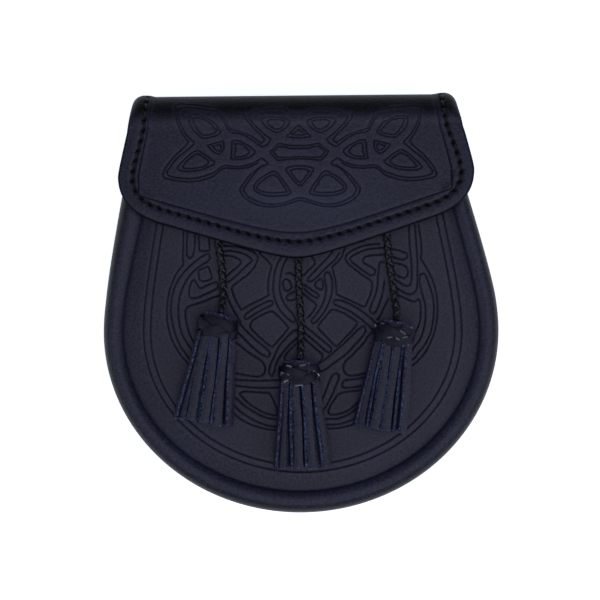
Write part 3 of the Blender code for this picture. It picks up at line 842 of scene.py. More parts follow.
# %% Distances
def tree_of(points):
    """A search tree over flat points."""
    tree = KDTree(len(points))
    for i, (x, y) in enumerate(points):
        tree.insert((x, y, 0.0), i)
    tree.balance()
    return tree


def distances(tree, points):
    """How far each flat point is from the nearest point of a tree."""
    return np.array([tree.find((x, y, 0.0))[2] for x, y in points])


def beside(line, offset):
    """The row of points at an offset to one side of a line."""
    run = unit(np.gradient(line, axis=0) + 1e-9)
    return line + offset * np.stack([-run[:, 1], run[:, 0]], axis=1)


# %% [markdown]
# ## A mesh that fits its lines
# A displaced even grid would need millions of faces to show lines this thin. So the mesh is made
# to fit them: rows of points along every line and beside it, rows along the edge, wide-spaced
# points between, and a Delaunay triangulation over all of them.

# %% A mesh that fits
LINE_ROWS = (0.2, 0.42, 0.85)      # how far the rows of points beside a line are from it
GRID_STEP = 2.0            # between the points far from any line
GRID_FROM_LINE = 1.5
ROW_CLEARANCE = 0.85       # a point is kept if it is this share of its row's distance away
LINE_CLEARANCE = 0.5       # from a line, of the rows along the edge
LINE_SAMPLES = 0.15        # spacing of the points that stand for a line in the search trees
EDGE_SAMPLES = 0.3         # and of those that stand for an edge
MERGE_WITHIN = 0.02        # points nearer than this become one


def closed(outline):
    """An outline with its first point again at its end."""
    return np.vstack([outline, outline[:1]])


def rows_beside(lines, offsets):
    """Rows of points on both sides of lines, and how far each point should be from them."""
    rows = [beside(line, side * offset)
            for line in lines for side in (-1, 1) for offset in offsets]
    aims = np.repeat(np.tile(offsets, 2 * len(lines)), [len(row) for row in rows])
    return np.vstack(rows), ROW_CLEARANCE * aims


def coarse_grid(outline):
    """Evenly spaced points over an outline's box, every other row shifted by half a step."""
    low, high = outline.min(axis=0), outline.max(axis=0)
    xs = np.arange(low[0], high[0], GRID_STEP)
    ys = np.arange(low[1], high[1], 0.87 * GRID_STEP)
    return np.array([(x + 0.5 * GRID_STEP * (i % 2), y) for i, y in enumerate(ys) for x in xs])


def fit_mesh(outline, lines, edge_rows, more_points=()):
    """Points and triangles over an outline, fine along its edge and lines, coarse between."""
    fine = tree_of(np.vstack([evenly(line, LINE_SAMPLES) for line in lines]))
    edge = tree_of(evenly(closed(outline), EDGE_SAMPLES))
    margin = edge_rows[-1]
    along, aims = rows_beside([closed(outline)], edge_rows)
    along = along[(distances(edge, along) > aims) & (distances(fine, along) > LINE_CLEARANCE)]
    rows, aims = rows_beside(lines, LINE_ROWS)
    rows = rows[(distances(fine, rows) > aims) & (distances(edge, rows) > margin)]
    grid = coarse_grid(outline)
    grid = grid[(distances(fine, grid) > GRID_FROM_LINE)
                & (distances(edge, grid) > margin + 0.4 * GRID_STEP)]
    points, edges = [outline], [(i, (i + 1) % len(outline)) for i in range(len(outline))]
    count = len(outline)
    for line in lines:
        edges += [(count + i, count + i + 1) for i in range(len(line) - 1)]
        points.append(line)
        count += len(line)
    points = np.vstack(points + [along, rows, grid] + list(more_points))
    # Output kind 1 keeps only the triangles inside the outline.
    made = delaunay_2d_cdt([Vector(p) for p in points], edges, [list(range(len(outline)))], 1,
                           MERGE_WITHIN)
    flat = np.array([tuple(p) for p in made[0]])
    faces = np.array([face for face in made[2] if len(face) == 3])
    used, back = np.unique(faces, return_inverse=True)
    return flat[used], back.reshape(-1, 3), distances(fine, flat[used])


# %% [markdown]
# ## Section of a pressed line
# Each line is a narrow valley with a faint ridge on both sides, where the leather was pushed up.
# Bell curves of the distance give both, and a third one marks where the ridge is worn grey.

# %% Section of a pressed line
LINE_DEPTH = 0.45
LINE_HALF_WIDTH = 0.26     # distance at which the valley has risen to a third of its depth
RIDGE_HEIGHT = 0.03
RIDGE_AT = 0.75
RIDGE_HALF_WIDTH = 0.4


def pressed_profile(distance, depth=LINE_DEPTH):
    """Height of the leather at a distance from a pressed line."""
    valley = np.exp(-(distance / LINE_HALF_WIDTH) ** 2)
    ridge = np.exp(-((distance - RIDGE_AT) / RIDGE_HALF_WIDTH) ** 2)
    return RIDGE_HEIGHT * ridge - depth * valley


def rubbed_ridge(distance, strength):
    """The mark of what is worn grey, on the ridges beside the pressed lines."""
    return strength * np.exp(-((distance - RIDGE_AT) / 0.35) ** 2)


# %% [markdown]
# ## Outlines
# The front is a U: half an ellipse under the waist, and sides that draw in towards the top. The
# seam, the rim and the pressed border are the same U at other widths. Each is given by its
# half-width, its drop below the waist and how fast its sides draw in. An outline traced point
# by point would show every slip of the hand.

# %% Outline helpers
WAIST_Y = -13.5
TAPER_EASE = 20.0
SEAM = (82.1, 73.7, 0.28)
BODY = (88.0, 80.7, 0.25)
BORDERS = ((71.9, 63.6, 0.205), (68.7, 60.4, 0.205))
BORDER_SHIFT = 0.7         # the border was stamped so far to the right of the seam
BODY_SHIFT = 0.4           # handmade: the pouch sits a little to the right of its flap
TOP_FALL = 3.0             # how far the front comes down towards the mouth
TOP_FALL_FROM = 30.0
TOP_FALL_LENGTH = 40.0


def tapered(y, start, half_width, taper, ease):
    """Half-width at height y of a side that draws in above its widest place."""
    return half_width - taper * (np.hypot(np.maximum(y - start, 0.0), ease) - ease)


def u_shape(half_width, drop, taper, top, spacing):
    """A U from its top left end round the bottom to its top right end."""
    heights = np.linspace(top, WAIST_Y, 40)
    right = np.stack([tapered(heights, WAIST_Y, half_width, taper, TAPER_EASE), heights], axis=1)
    angles = np.linspace(0.0, math.pi, 160)
    bend = np.stack([half_width * np.cos(angles), WAIST_Y - drop * np.sin(angles)], axis=1)
    line = np.vstack([right, bend[1:-1], (right * (-1, 1))[::-1]])[::-1]
    return evenly(line + (BODY_SHIFT, 0.0), spacing)


def share_of(points, half_width, drop, taper):
    """How far out each point lies in a U, as a share of the U's size."""
    x, y = points[:, 0] - BODY_SHIFT, points[:, 1]
    above = np.abs(x) / tapered(y, WAIST_Y, half_width, taper, TAPER_EASE)
    below = np.hypot(x / half_width, (y - WAIST_Y) / drop)
    return np.where(y > WAIST_Y, above, below)


def top_fall(y):
    """How far the front has come down towards the mouth at height y."""
    return TOP_FALL * (np.maximum(y - TOP_FALL_FROM, 0.0) / TOP_FALL_LENGTH) ** 2


# %% [markdown]
# ## Knotwork of the front
# The front shows a roundel of interlaced bands. What is pressed is the bands' edges: closed cells
# between the bands, and long loops with round ends inside them, which stop where a band dives
# under another. The lines are drawn in millimetres, left to right. A rule for knotwork
# would draw it more evenly than the maker did, and in the wrong places.

# %% Outer ring of the front
FRONT_KNOT = [
    # The outer ring, from the flap on the left round the bottom to the flap on the right.
    [(-51.7, 33), (-51.9, 26), (-52.2, 21), (-52, 18.2), (-54.8, 15), (-57, 11), (-58.8, 6),
     (-59.8, 0), (-60, -5), (-59.3, -11), (-57.4, -17), (-54.3, -22.5), (-50.6, -27), (-45, -34),
     (-38, -43), (-31, -50), (-27, -53), (-22, -55.5), (-17, -57), (-12.6, -57.6), (0, -58.4),
     (11, -57.8), (15, -57.6), (19, -57), (23.5, -55.5), (31, -49.5), (40, -40), (49, -31),
     (52, -28.6), (55.5, -25), (58.5, -20), (60.8, -14), (62, -8), (62.2, -2), (61.6, 3.5),
     (60, 9), (57.7, 14), (55.2, 18.2), (55.6, 20.5), (55.5, 26), (54.6, 33)],
    # Loops in the outer ring.
    [(-40.2, 22.5), (-41.2, 22.8), (-45, 20.7), (-50, 16.6), (-53.5, 12.8), (-56.3, 8),
     (-57.8, 2), (-58.2, -3), (-57.6, -8), (-56.5, -13), (-54, -19), (-50.5, -24), (-47, -28.2),
     (-45.6, -27.6), (-46.5, -24.5), (-49, -20.5), (-52.5, -15), (-54.2, -10), (-54.8, -4),
     (-54.4, 2), (-53, 7), (-50.5, 11.5), (-48, 14.5), (-45, 17), (-41, 19.4), (-39.8, 20.8),
     (-40.2, 22.5)],
    [(56.1, 11.4), (54.9, 10.8), (54.3, 9), (54.6, 6), (55.8, 1), (56.7, -3), (56.7, -8),
     (55.8, -13), (54, -18), (50, -23.2), (48.4, -25.6), (49, -27.6), (51, -27), (52.5, -25),
     (55.8, -21), (58.5, -16), (60, -10), (60.6, -5), (60.3, 0), (59.3, 4.5), (58, 8.3),
     (57.1, 10.8), (56.1, 11.4)],
    [(-49.8, 33), (-50.3, 26), (-50.4, 22.4), (-49.2, 20.9), (-47.7, 21.8), (-47.2, 24),
     (-46.6, 28), (-46.4, 33)],
    [(-31, -46), (-28, -49), (-24, -51.8), (-20, -54), (-15, -55.7), (-8, -56.6), (-4, -55.6),
     (-6, -53.8), (-13, -52.7), (-17, -51.8), (-21, -49.8), (-26, -46.5), (-29.5, -43.3),
     (-33, -41.5), (-33, -43.6), (-31, -46)],
    [(12, -53.2), (15, -53.3), (19, -52.3), (22.5, -50.5), (27, -47.2), (28.5, -48.4),
     (26, -51.5), (23, -53.6), (20, -54.8), (16, -55.8), (12, -55.9), (8, -55.6), (8.2, -53.6),
     (12, -53.2)],
]

# %% [markdown]
# ### Left side
# The bands at the left cord, the pointed loop next to it, and the two cells with five sides.

# %% Left side of the front
FRONT_KNOT += [
    # Cells and loops under the left tassel's cord.
    [(-44.8, 33), (-44.6, 24.2), (-41.5, 24), (-39.9, 24.6), (-40.1, 33)],
    [(-45.2, 15.5), (-43, 16.3), (-41.2, 17), (-40.4, 16.5), (-39.9, 14.5), (-39.2, 12.2),
     (-39.7, 11.4), (-42.3, 10.4), (-44, 10.5), (-44.9, 11.3), (-45.2, 13.5), (-45.2, 15.5)],
    [(-47.4, 11.3), (-46.3, 9.5), (-45.3, 7.4), (-44, 7.3), (-41, 8.7), (-38, 9.8), (-36.3, 9.4),
     (-36.5, 7.4), (-38, 6.4), (-42.5, 4.4), (-46, 3), (-48.9, 2.8), (-49.7, 3.8), (-49.7, 6.5),
     (-48.9, 9.8), (-47.4, 11.3)],
    [(-34.5, 3.8), (-38.3, 3), (-42, 1.7), (-46, 0.3), (-50, -0.8), (-51.4, -2.1), (-51.6, -5),
     (-51, -9), (-50, -13), (-48, -17), (-44, -22)],
    # The pointed loop between the left cord and the flap.
    [(-36.5, 23.2), (-32.6, 23.7), (-31, 23.9), (-27, 23.1), (-23.5, 21.8), (-20.9, 19.5),
     (-21.8, 18.3), (-24, 16.5), (-28, 12.9), (-31.5, 10.1), (-35, 9)],
    [(-36, 21.9), (-31.5, 21.6), (-29, 21), (-27, 20), (-25.7, 18.7), (-27.5, 16.7),
     (-30, 14.8), (-32.3, 12.9), (-34.5, 12.2), (-36, 14)],
    # The five-sided cell on the left, with the line that goes on above it.
    [(-33, 26.2), (-27, 25.6), (-23, 24.4), (-19.5, 22.6), (-18.3, 20.6), (-18.9, 18.4),
     (-20.6, 15.5), (-23.5, 12.6), (-27, 10.2), (-30.8, 7.3), (-29.6, 3), (-28, -0.5),
     (-26.4, -3), (-22, -0.5), (-18, 1.2), (-15.5, 2.5), (-13.8, 3.4), (-14.1, 6),
     (-13.8, 10.5), (-13, 14), (-12.1, 16.5), (-14, 19), (-16.5, 21.6), (-18, 24)],
    # The five-sided cell on the right.
    [(36.5, 25.3), (31, 24.9), (27.5, 23.9), (24, 22.4), (21.5, 20.6), (21.1, 18.9),
     (22.5, 16.5), (26, 13.5), (30, 10.4), (32.4, 8.8), (33, 7), (32.3, 3.2), (31, 0),
     (29.8, -2.7), (28.4, -3), (26, -1.6), (22, 0.3), (18, 2.3), (16.7, 3), (16.7, 6),
     (16.3, 10), (15.6, 13.4), (15.1, 15.3), (17, 17.1), (19.4, 19.8), (20.8, 23.4)],
]

# %% [markdown]
# ### Right side
# The bands at the right cord. They aren't a mirror image of the left side: the plate was cut by
# hand.

# %% Right side of the front
FRONT_KNOT += [
    # Loops round the right cord.
    [(38.5, 23.4), (32, 23), (28.5, 22), (25.4, 20.6), (23.2, 19.3), (23.7, 17.7), (27, 15),
     (31, 11.8), (32.6, 11), (34.1, 11.6), (34.6, 13.1), (33.7, 14.3), (31, 15.9), (29.4, 16.8),
     (29, 18), (29.9, 19.5), (33, 20.2), (38.5, 20.3)],
    [(37.6, 17), (36.6, 16.8), (35.9, 12), (35.3, 6), (34.2, 2), (32.4, -2), (31.6, -4.6),
     (32.4, -6.2), (33.6, -6.4), (35, -4.4), (36.4, -1), (37.9, 4), (38.6, 8)],
    [(39.9, -0.5), (38.2, -3.6), (36.6, -7), (35.2, -9)],
    [(41.3, 22.8), (44, 22.4), (47, 21.4), (49.2, 20.6), (49.1, 18.6), (47, 17.6), (43, 18.9)],
    [(43, 16.5), (46, 15.8), (48.4, 14.7), (49.3, 12.6), (48.8, 10.3), (47.4, 9.3),
     (44.5, 10.6), (42.9, 12), (42.4, 14.5), (43, 16.5)],
    [(50.2, 33), (50.4, 24), (50.9, 17), (50.9, 10), (50.2, 6.5), (49, 5.7), (47, 6.4),
     (44.7, 7.9), (42.6, 9)],
    [(53, 33), (53.4, 24), (53.7, 18), (53.6, 12), (53.4, 7), (52.6, 3.6), (51, 2.1),
     (49, 2.1), (46.5, 3.4), (44, 4.8)],
    [(44, 1.9), (46, 1.1), (50, -0.8), (52.2, -1.4), (53.4, -0.1), (54.3, -1), (54.6, -4),
     (54.2, -9), (53, -13), (50, -18)],
]

# %% [markdown]
# ### Middle
# Long loops on both sides of the middle cord, and the small cells between them.

# %% Middle of the front
FRONT_KNOT += [
    # Loops and cells beside the middle cord.
    [(-6.4, 22), (-8.1, 20), (-9.7, 17), (-10.8, 14), (-11.5, 10), (-11.8, 6), (-11.3, 2),
     (-10, -1.5), (-8.4, -4.3), (-6, -7), (-3.4, -9.3), (-1.6, -8.6), (-2.7, -6), (-4.8, -3.5),
     (-6.7, -1), (-8.2, 2.5), (-8.8, 6), (-8.6, 10), (-7.8, 14), (-6.8, 17), (-5.4, 19.6)],
    [(5.2, -8.1), (7, -6.2), (9.5, -2.8), (11.3, 1.2), (12.1, 5), (11.9, 8), (11.5, 11),
     (11.7, 12.6), (12.9, 13.3), (13.9, 12.8), (14.6, 11), (15, 8), (14.6, 3.6), (13, -1),
     (11, -4.7), (7.5, -9), (6, -10), (5.2, -9.6), (5.2, -8.1)],
    [(-7.3, 8.9), (-6.9, 10), (-5.7, 10.5), (-4.4, 9.5), (-3.4, 7.5), (-3.7, 5.9), (-5, 5),
     (-6.3, 5.3), (-7, 6.8), (-7.3, 8.9)],
    [(10.2, 10), (9.2, 9.9), (8.3, 9.2), (7.1, 8), (7.3, 6.7), (8.8, 5.5), (10.2, 5.2),
     (10.8, 7), (10.7, 9.3), (10.2, 10)],
    [(-5, 13), (-3.8, 13.2), (-2, 12), (2.6, 12.2), (4, 14), (6.4, 15.9), (7.5, 17.6),
     (6.9, 19), (5.6, 21)],
    [(-2.4, 4.5), (-3.9, 3.8), (-5.3, 3.2), (-6, 1.9), (-5.2, 0.8), (-3.6, 0.7), (-2, 1.2)],
    [(2.2, 7.6), (3.4, 6.7), (6, 4.9), (8.2, 3.5), (8.8, 2.2), (7.9, 1.3), (5.2, 3),
     (2.2, 5.6)],
    [(1.8, 3.4), (4.6, 1.1), (7, -0.8), (7.5, -1.8), (6.5, -3.7), (5, -5.6), (3.6, -7.1)],
    [(15.6, 23), (14, 20.6), (12.3, 18.8), (9, 15.5), (5, 11.6), (3.7, 10.1), (4.2, 9),
     (5.8, 9.2), (8.5, 11.3), (11, 13.8), (14, 16.5), (16.4, 18.7), (18.4, 21.6)],
]

# %% [markdown]
# ### Lower half
# The wide bands that cross below the middle, and those that meet the ring at the bottom.

# %% Lower half of the front
FRONT_KNOT += [
    # Bands and cells in the middle.
    [(-25.2, -7.1), (-25.2, -5.7), (-24.4, -4.9), (-21, -2.6), (-17, -0.6), (-13.8, 0.8),
     (-12.4, 0.5), (-12.2, -0.7), (-13.5, -1.6), (-17, -3.2), (-20.5, -5), (-23.5, -6.9),
     (-25.2, -7.1)],
    [(34.5, -11), (32, -8.3), (29, -5.8), (25, -2.9), (21, -0.8), (18, 0.2), (16, 0.3),
     (15.2, -0.5), (15.7, -1.5), (17, -2.3), (20, -3.5), (24, -5.8), (28, -8.9), (31, -11.6),
     (33, -13.6)],
    [(-33.5, 6), (-31.9, 1), (-29.6, -4), (-27.6, -7.6), (-27, -9.6), (-25, -12), (-20, -17),
     (-15.3, -21), (-13.8, -23), (-14.8, -24.8), (-18, -23.2), (-22, -19.8), (-25.5, -16.1),
     (-28.5, -13), (-30.5, -10)],
    [(-22.7, -10), (-21.6, -8), (-18, -5.9), (-14, -4.2), (-12.4, -4), (-10.5, -5.6),
     (-7, -9.4), (-5.2, -11.6), (-8, -15), (-11, -18.3), (-12.8, -20.2), (-14.4, -19.2),
     (-17.5, -16.5), (-20.5, -13.5), (-22.5, -11.3), (-22.7, -10)],
    [(7.8, -11.6), (9, -9.8), (12, -6.4), (14, -4.3), (15.4, -4), (19, -5.3), (23, -7.7),
     (26.1, -10.2), (24, -13), (21, -16), (18, -19), (16, -20.6), (15, -19.8), (12, -16.5),
     (9, -13.2), (7.8, -11.6)],
    [(1.6, -10.9), (5, -13.6), (9, -17), (12.5, -20), (13.8, -21.4), (13.6, -22.8),
     (12.4, -23.4), (11, -22.5), (8, -19.6), (4, -16), (1.6, -14.2)],
    [(-1.4, -12.7), (-3.4, -13.5), (-6, -15.7), (-9.8, -20), (-12.3, -25), (-14.1, -29),
     (-14.5, -32), (-13.4, -33.4), (-12.3, -31.8), (-11, -27.5), (-8.5, -23.3), (-5, -19.4),
     (-1.6, -16.6)],
    [(1.8, -17), (5.5, -20.4), (9.8, -24.3), (8.6, -27), (3, -31), (-4, -30), (-7.2, -26.5),
     (-7, -24.3), (-4, -20.9), (-1.6, -18.9)],
    [(29.2, -12), (27.6, -12.2), (24, -15.2), (20, -19), (15, -23), (10.5, -26.5), (6, -29.5),
     (5, -31.5), (7, -32), (10, -31.3), (15, -28), (20, -24.5), (24.5, -20.2), (28, -16.5),
     (29.7, -14), (29.2, -12)],
    [(36, -13), (31, -16), (29, -19), (26, -22), (23, -25), (20.5, -27), (19.2, -29),
     (19, -31), (19.9, -33), (21.7, -34), (25, -33.9), (29, -33), (33, -31)],
    [(-34, -15), (-29, -18), (-26, -20.5), (-22, -23.6), (-18.5, -25.8), (-17, -27.5),
     (-16.2, -29.6), (-16.8, -31.9), (-18.2, -33.1), (-21, -33.2), (-26, -32.4), (-32, -31.2)],
    # Bands and cells at the bottom.
    [(15.8, -32.8), (14.4, -33.2), (13, -35.1), (11.5, -38.5), (10, -42), (8.5, -45),
     (8.2, -48.4), (10, -48.6), (11.5, -46), (13.7, -42), (15.5, -38), (16.8, -35.1),
     (16.8, -33.7), (15.8, -32.8)],
    [(-33, -34.2), (-26, -34.8), (-20, -35.2), (-10, -35.2), (-3, -35.2)],
    [(-33, -36.7), (-25, -37.9), (-20, -38.4), (-10, -38.6), (-3, -38.6)],
    [(-28.3, -41.1), (-27.2, -40.1), (-25, -40), (-19, -40.5), (-15, -40.9), (-14.1, -41.6),
     (-12.5, -45), (-11, -49), (-11.6, -51), (-13, -51), (-17, -49.8), (-21, -47.6),
     (-25, -44.5), (-28.3, -41.1)],
    [(31, -34.6), (28, -35.2), (24, -35.7), (20, -36), (18.8, -36.6), (18.1, -38), (18.5, -39.2),
     (20, -39.5), (23, -39.3), (28, -38.7), (32, -37.6)],
    [(30, -40.6), (22, -41.1), (17.5, -41.8), (16, -42.6), (14.5, -44.6), (12.5, -47.5),
     (11.4, -50), (12.2, -51.3), (15, -51.4), (19, -50.4), (22, -48.9), (26, -45.5),
     (30, -40.6)],
]
print(f"{len(FRONT_KNOT)} lines on the front")

# %% [markdown]
# ## Front panel
# The panel is blocked over a form while damp, so it is crowned and falls to the seam round its
# edge. It could be sculpted from a plane. Here the points of the fitted mesh take their height
# from a formula for that crown, then from the nearest pressed line.

# %% Front panel
FRONT_TOP = 62.0
FRONT_EDGE_Z = 31.8
FRONT_PUFF = 2.2           # how far the crown stands above the edge
PUFF_FROM = 0.78           # share of the panel that is level
FRONT_GAP = 0.35           # between the panel and the rim
PANEL_LEATHER = 2.0
FRONT_EDGE_ROWS = (0.5, 1.0, 1.6)
EDGE_TUCK = 1.3            # the panel's last millimetre dives down into the seam
TUCK_FROM = 0.985


def front_height(points):
    """Height of the front panel's outer face, before the lines are pressed."""
    share = share_of(points, *SEAM)
    fall = np.maximum(share - PUFF_FROM, 0.0) / (1.0 - PUFF_FROM)
    height = FRONT_EDGE_Z + FRONT_PUFF * (1.0 - fall ** 2) - top_fall(points[:, 1])
    return height - EDGE_TUCK * smooth_step((share - TUCK_FROM) / 0.016)


def front_panel():
    """The crowned front with its double border and its knotwork."""
    half_width, drop, taper = SEAM
    outline = u_shape(half_width - FRONT_GAP, drop - FRONT_GAP, taper, FRONT_TOP, 1.2)
    lines = [u_shape(*border, FRONT_TOP - 1.5, 1.2) + (BORDER_SHIFT, 0.0) for border in BORDERS]
    lines += [pressed_line(points) for points in FRONT_KNOT]
    flat, faces, distance = fit_mesh(outline, lines, FRONT_EDGE_ROWS)
    points = np.column_stack([flat, front_height(flat) + pressed_profile(distance)])
    marks = {"scorch_and_shade": 0.85 * np.exp(-(distance / 0.31) ** 2), "wear_and_sheen": rubbed_ridge(distance, 0.4)}
    panel = add_piece("pressed_front", points, faces.tolist(), [front_hide, edge_paint],
                      ["front_panel"], marks)
    add_wall(panel, PANEL_LEATHER)


front_panel()

# %% [markdown]
# ## Gusset and rim
# One long band joins front and back. Along the front it is rolled outwards over a soft filler,
# and that roll is the plump rim round the pouch. Its cross-section is a smooth curve through a
# few points, each a share of the way from the seam to the outline, and a height. The section is
# carried along the U, with slow swellings, since no hand-rolled rim is quite even. A bevelled
# curve would give the roll too, but not the flat wall behind it in one piece.

# %% Gusset
GUSSET_TOP = 84.0
GUSSET_STATIONS = 330
RIM_SECTION = [(0.045, 26.5), (0.03, 30.6), (0.07, 32.5), (0.18, 33.4), (0.4, 33.9),
               (0.63, 33.5), (0.82, 31.6), (0.95, 28.0), (1.0, 23.5), (1.0, 16.0),
               (1.0, 8.0), (1.0, 0.0)]
SWELL = 0.22               # how far the rim swells and thins along its length
SWELL_SCALE = 0.045        # of the swellings: one is about 20 mm long
FLAP_END_Y = 72.5          # the flap's end lies under the pouch from the top down to here
FLAP_END_ROOM = 3.7        # the gusset ends so far above the table there
BODY_LEAN = 0.035          # handmade: the upper half leans a little to the left


def gusset():
    """The band round the pouch with its rolled front edge."""
    lines = [u_shape(*shape, GUSSET_TOP, 1.0) for shape in (SEAM, BODY)]
    seam, body = (line[np.linspace(0, len(line) - 1, GUSSET_STATIONS).round().astype(int)]
                  for line in lines)
    body[:, 0] -= BODY_LEAN * np.maximum(body[:, 1] - 2.0, 0.0)
    section = spline(RIM_SECTION, 1.1)
    shares, heights = section[:, 0], section[:, 1]
    grid = seam[:, None] + shares[None, :, None] * (body - seam)[:, None]
    foot = FLAP_END_ROOM * smooth_step((grid[..., 1] - (FLAP_END_Y - 9.0)) / 8.0)
    z = np.maximum(heights * (1.0 - top_fall(grid[..., 1]) / FRONT_EDGE_Z), foot)
    points = np.concatenate([grid, z[..., None]], axis=2)
    swell = np.array([[noise.noise(Vector(p) * SWELL_SCALE) for p in row] for row in points])
    points[..., 2] += SWELL * swell * np.clip(z / 20.0, 0.0, 1.0)
    rows, sides = points.shape[:2]
    faces = [(i * sides + j, (i + 1) * sides + j, (i + 1) * sides + j + 1, i * sides + j + 1)
             for i in range(rows - 1) for j in range(sides - 1)]
    # Painted shade: its outer side is darker and duller than the crest.
    scorch_and_shade = np.tile(1.4 * smooth_step((shares - 0.55) / 0.3), rows)
    band = add_piece("rolled_gusset", points.reshape(-1, 3), faces, [lit_rim_hide, edge_paint],
                     ["gusset"], {"scorch_and_shade": scorch_and_shade})
    add_wall(band, PANEL_LEATHER)


gusset()

# %% [markdown]
# ## Flap
# The flap is two layers of leather glued and stitched. It comes up from the back, bends over the
# top and lies on the front. It is drawn flat, like a cutting pattern: x across, and a second
# distance that runs up the front, round the fold and down the back. Lines, stitches and outline
# are all laid out there, and bent into place in the end. That way no line is stretched, as none
# is in real leather.

# %% The fold
FLAP_TILT = math.radians(6.3)
FOLD_RADIUS = 13.5
FOLD_Y = 81.5
FOLD_FRONT_Z = 22.7
FLAT_END_Y = FOLD_Y - FOLD_RADIUS * math.sin(FLAP_TILT)
BEND = FOLD_RADIUS * (math.pi / 2.0 + FLAP_TILT)
DROP = FOLD_FRONT_Z - FOLD_RADIUS
REAR_BEND = FOLD_RADIUS * math.pi / 2.0
PATTERN_TOP = FLAT_END_Y + BEND + DROP + REAR_BEND + FOLD_Y - FLAP_END_Y


def fold(run):
    """Y and Z of the flap's outer face at a distance up the pattern."""
    run = np.asarray(run, float)
    y, z = run.copy(), (FLAT_END_Y - run) * math.tan(FLAP_TILT)
    z += FOLD_FRONT_Z + FOLD_RADIUS * math.cos(FLAP_TILT)
    bent = run - FLAT_END_Y
    angle = math.pi / 2.0 + FLAP_TILT - bent / FOLD_RADIUS
    front = bent > 0.0
    y[front] = FOLD_Y + FOLD_RADIUS * np.cos(angle[front])
    z[front] = FOLD_FRONT_Z + FOLD_RADIUS * np.sin(angle[front])
    down = bent > BEND
    y[down] = FOLD_Y + FOLD_RADIUS
    z[down] = FOLD_FRONT_Z - (bent[down] - BEND)
    rear = bent > BEND + DROP
    angle = -(bent[rear] - BEND - DROP) / FOLD_RADIUS
    y[rear] = FOLD_Y + FOLD_RADIUS * np.cos(angle)
    z[rear] = FOLD_RADIUS + FOLD_RADIUS * np.sin(angle)
    end = bent > BEND + DROP + REAR_BEND
    y[end] = FOLD_Y - (bent[end] - BEND - DROP - REAR_BEND)
    z[end] = 0.0
    return y, z


# %% [markdown]
# ## Edge of the flap
# The sides are straight cuts that draw in, the lower edge is two slopes that meet in a blunt tip,
# and one curve rounds off each corner. The other lines near the edge are the same one, inset.

# %% The flap's edge
FLAP_HALF_WIDTH = 80.4
FLAP_WIDEST_Y = 57.0
FLAP_TAPER = 0.245
FLAP_FLARE = 0.12          # the sides taper less in the fold's last stretch
FLAP_FLARE_FROM = 78.0
FLAP_TIP_Y = 19.5
FLAP_SLOPE = 0.325
FLAP_TIP_ROUND = 10.0
CORNER_FROM_Y = 58.3       # the lower corners are drawn as one curve from here
CORNER_TO_X = 61.8         # to here


def flap_half_width(run):
    """Half the flap's width at a distance up the pattern."""
    y, z = fold(run)
    y = np.where(z < FOLD_FRONT_Z, FOLD_Y + FOLD_RADIUS, y)
    side = tapered(y, FLAP_WIDEST_Y, FLAP_HALF_WIDTH, FLAP_TAPER, 3.0)
    return side + FLAP_FLARE * np.maximum(y - FLAP_FLARE_FROM, 0.0)


def up_the_pattern(y):
    """Distance up the pattern of the point that is seen at height y from above."""
    y = np.asarray(y, float)
    over = np.clip((y - FOLD_Y) / FOLD_RADIUS, -1.0, 1.0)
    bent = FOLD_RADIUS * (math.pi / 2.0 + FLAP_TILT - np.arccos(over))
    return np.where(y > FLAT_END_Y, FLAT_END_Y + bent, y)


def lower_edge(x, tip_round=FLAP_TIP_ROUND):
    """The slopes and blunt tip of the flap's edge, or the same with a blunter tip."""
    return FLAP_TIP_Y + FLAP_SLOPE * (np.hypot(x, tip_round) - FLAP_TIP_ROUND)


def flap_edge(top):
    """The right half of the flap's edge, from a top end round the corner to the tip."""
    runs = np.linspace(top, CORNER_FROM_Y, 120)
    side = np.stack([flap_half_width(runs), runs], axis=1)
    start = np.array([flap_half_width(np.array([CORNER_FROM_Y]))[0], CORNER_FROM_Y])
    pull = np.array([start[0], lower_edge(start[0])])
    end = np.array([CORNER_TO_X, lower_edge(CORNER_TO_X)])
    t = np.linspace(0.0, 1.0, 30)[1:, None]
    corner = (1.0 - t) ** 2 * start + 2.0 * t * (1.0 - t) * pull + t ** 2 * end
    xs = np.linspace(CORNER_TO_X, 0.0, 60)[1:]
    return np.vstack([side, corner, np.stack([xs, lower_edge(xs)], axis=1)])


def flap_line(inset, top, spacing):
    """A line at one distance inside the flap's edge, from one top end round to the other."""
    half = flap_edge(top)
    run = unit(np.gradient(half, axis=0))
    run[-1] = (-1.0, 0.0)
    half = half + inset * np.stack([run[:, 1], -run[:, 0]], axis=1)
    return evenly(np.vstack([half, (half * (-1, 1))[::-1][1:]]), spacing)


# %% [markdown]
# ## Bending the flap
# Each point of the pattern goes to its place on the fold, and its lift moves it off the face. A
# Simple Deform modifier bends too, but only round one circle.

# %% Bending the flap
FOLD_END_ROUND = 5.5       # the fold is rounded over so much at both ends
FOLD_SKEW = 0.0165
SIDE_SAG = 1.2             # the flap's sides hang down over the rim


def bend_flap(flat, lift=0.0):
    """Bend points of the pattern into place, lifted off the outer face."""
    x, run = flat[:, 0], flat[:, 1]
    y, z = fold(run)
    y_ahead, z_ahead = fold(run + 0.01)
    away = unit(np.stack([-(z_ahead - z), y_ahead - y], axis=1))
    y = y + away[:, 0] * lift
    z = z + away[:, 1] * lift
    to_end = np.clip((np.abs(x) - flap_half_width(run)) / FOLD_END_ROUND + 1.0, 0.0, 1.0)
    rounding = FOLD_END_ROUND * (1.0 - np.sqrt(1.0 - 0.92 * to_end ** 2))
    y -= rounding * smooth_step((y - 74.0) / 20.0)
    # Handmade: the fold isn't quite square to the middle line.
    y -= (0.4 + FOLD_SKEW * x) * smooth_step((y - 72.0) / 18.0)
    z -= SIDE_SAG * (np.abs(x) / FLAP_HALF_WIDTH) ** 4 * smooth_step(z / 30.0)
    return np.column_stack([x, y, z])


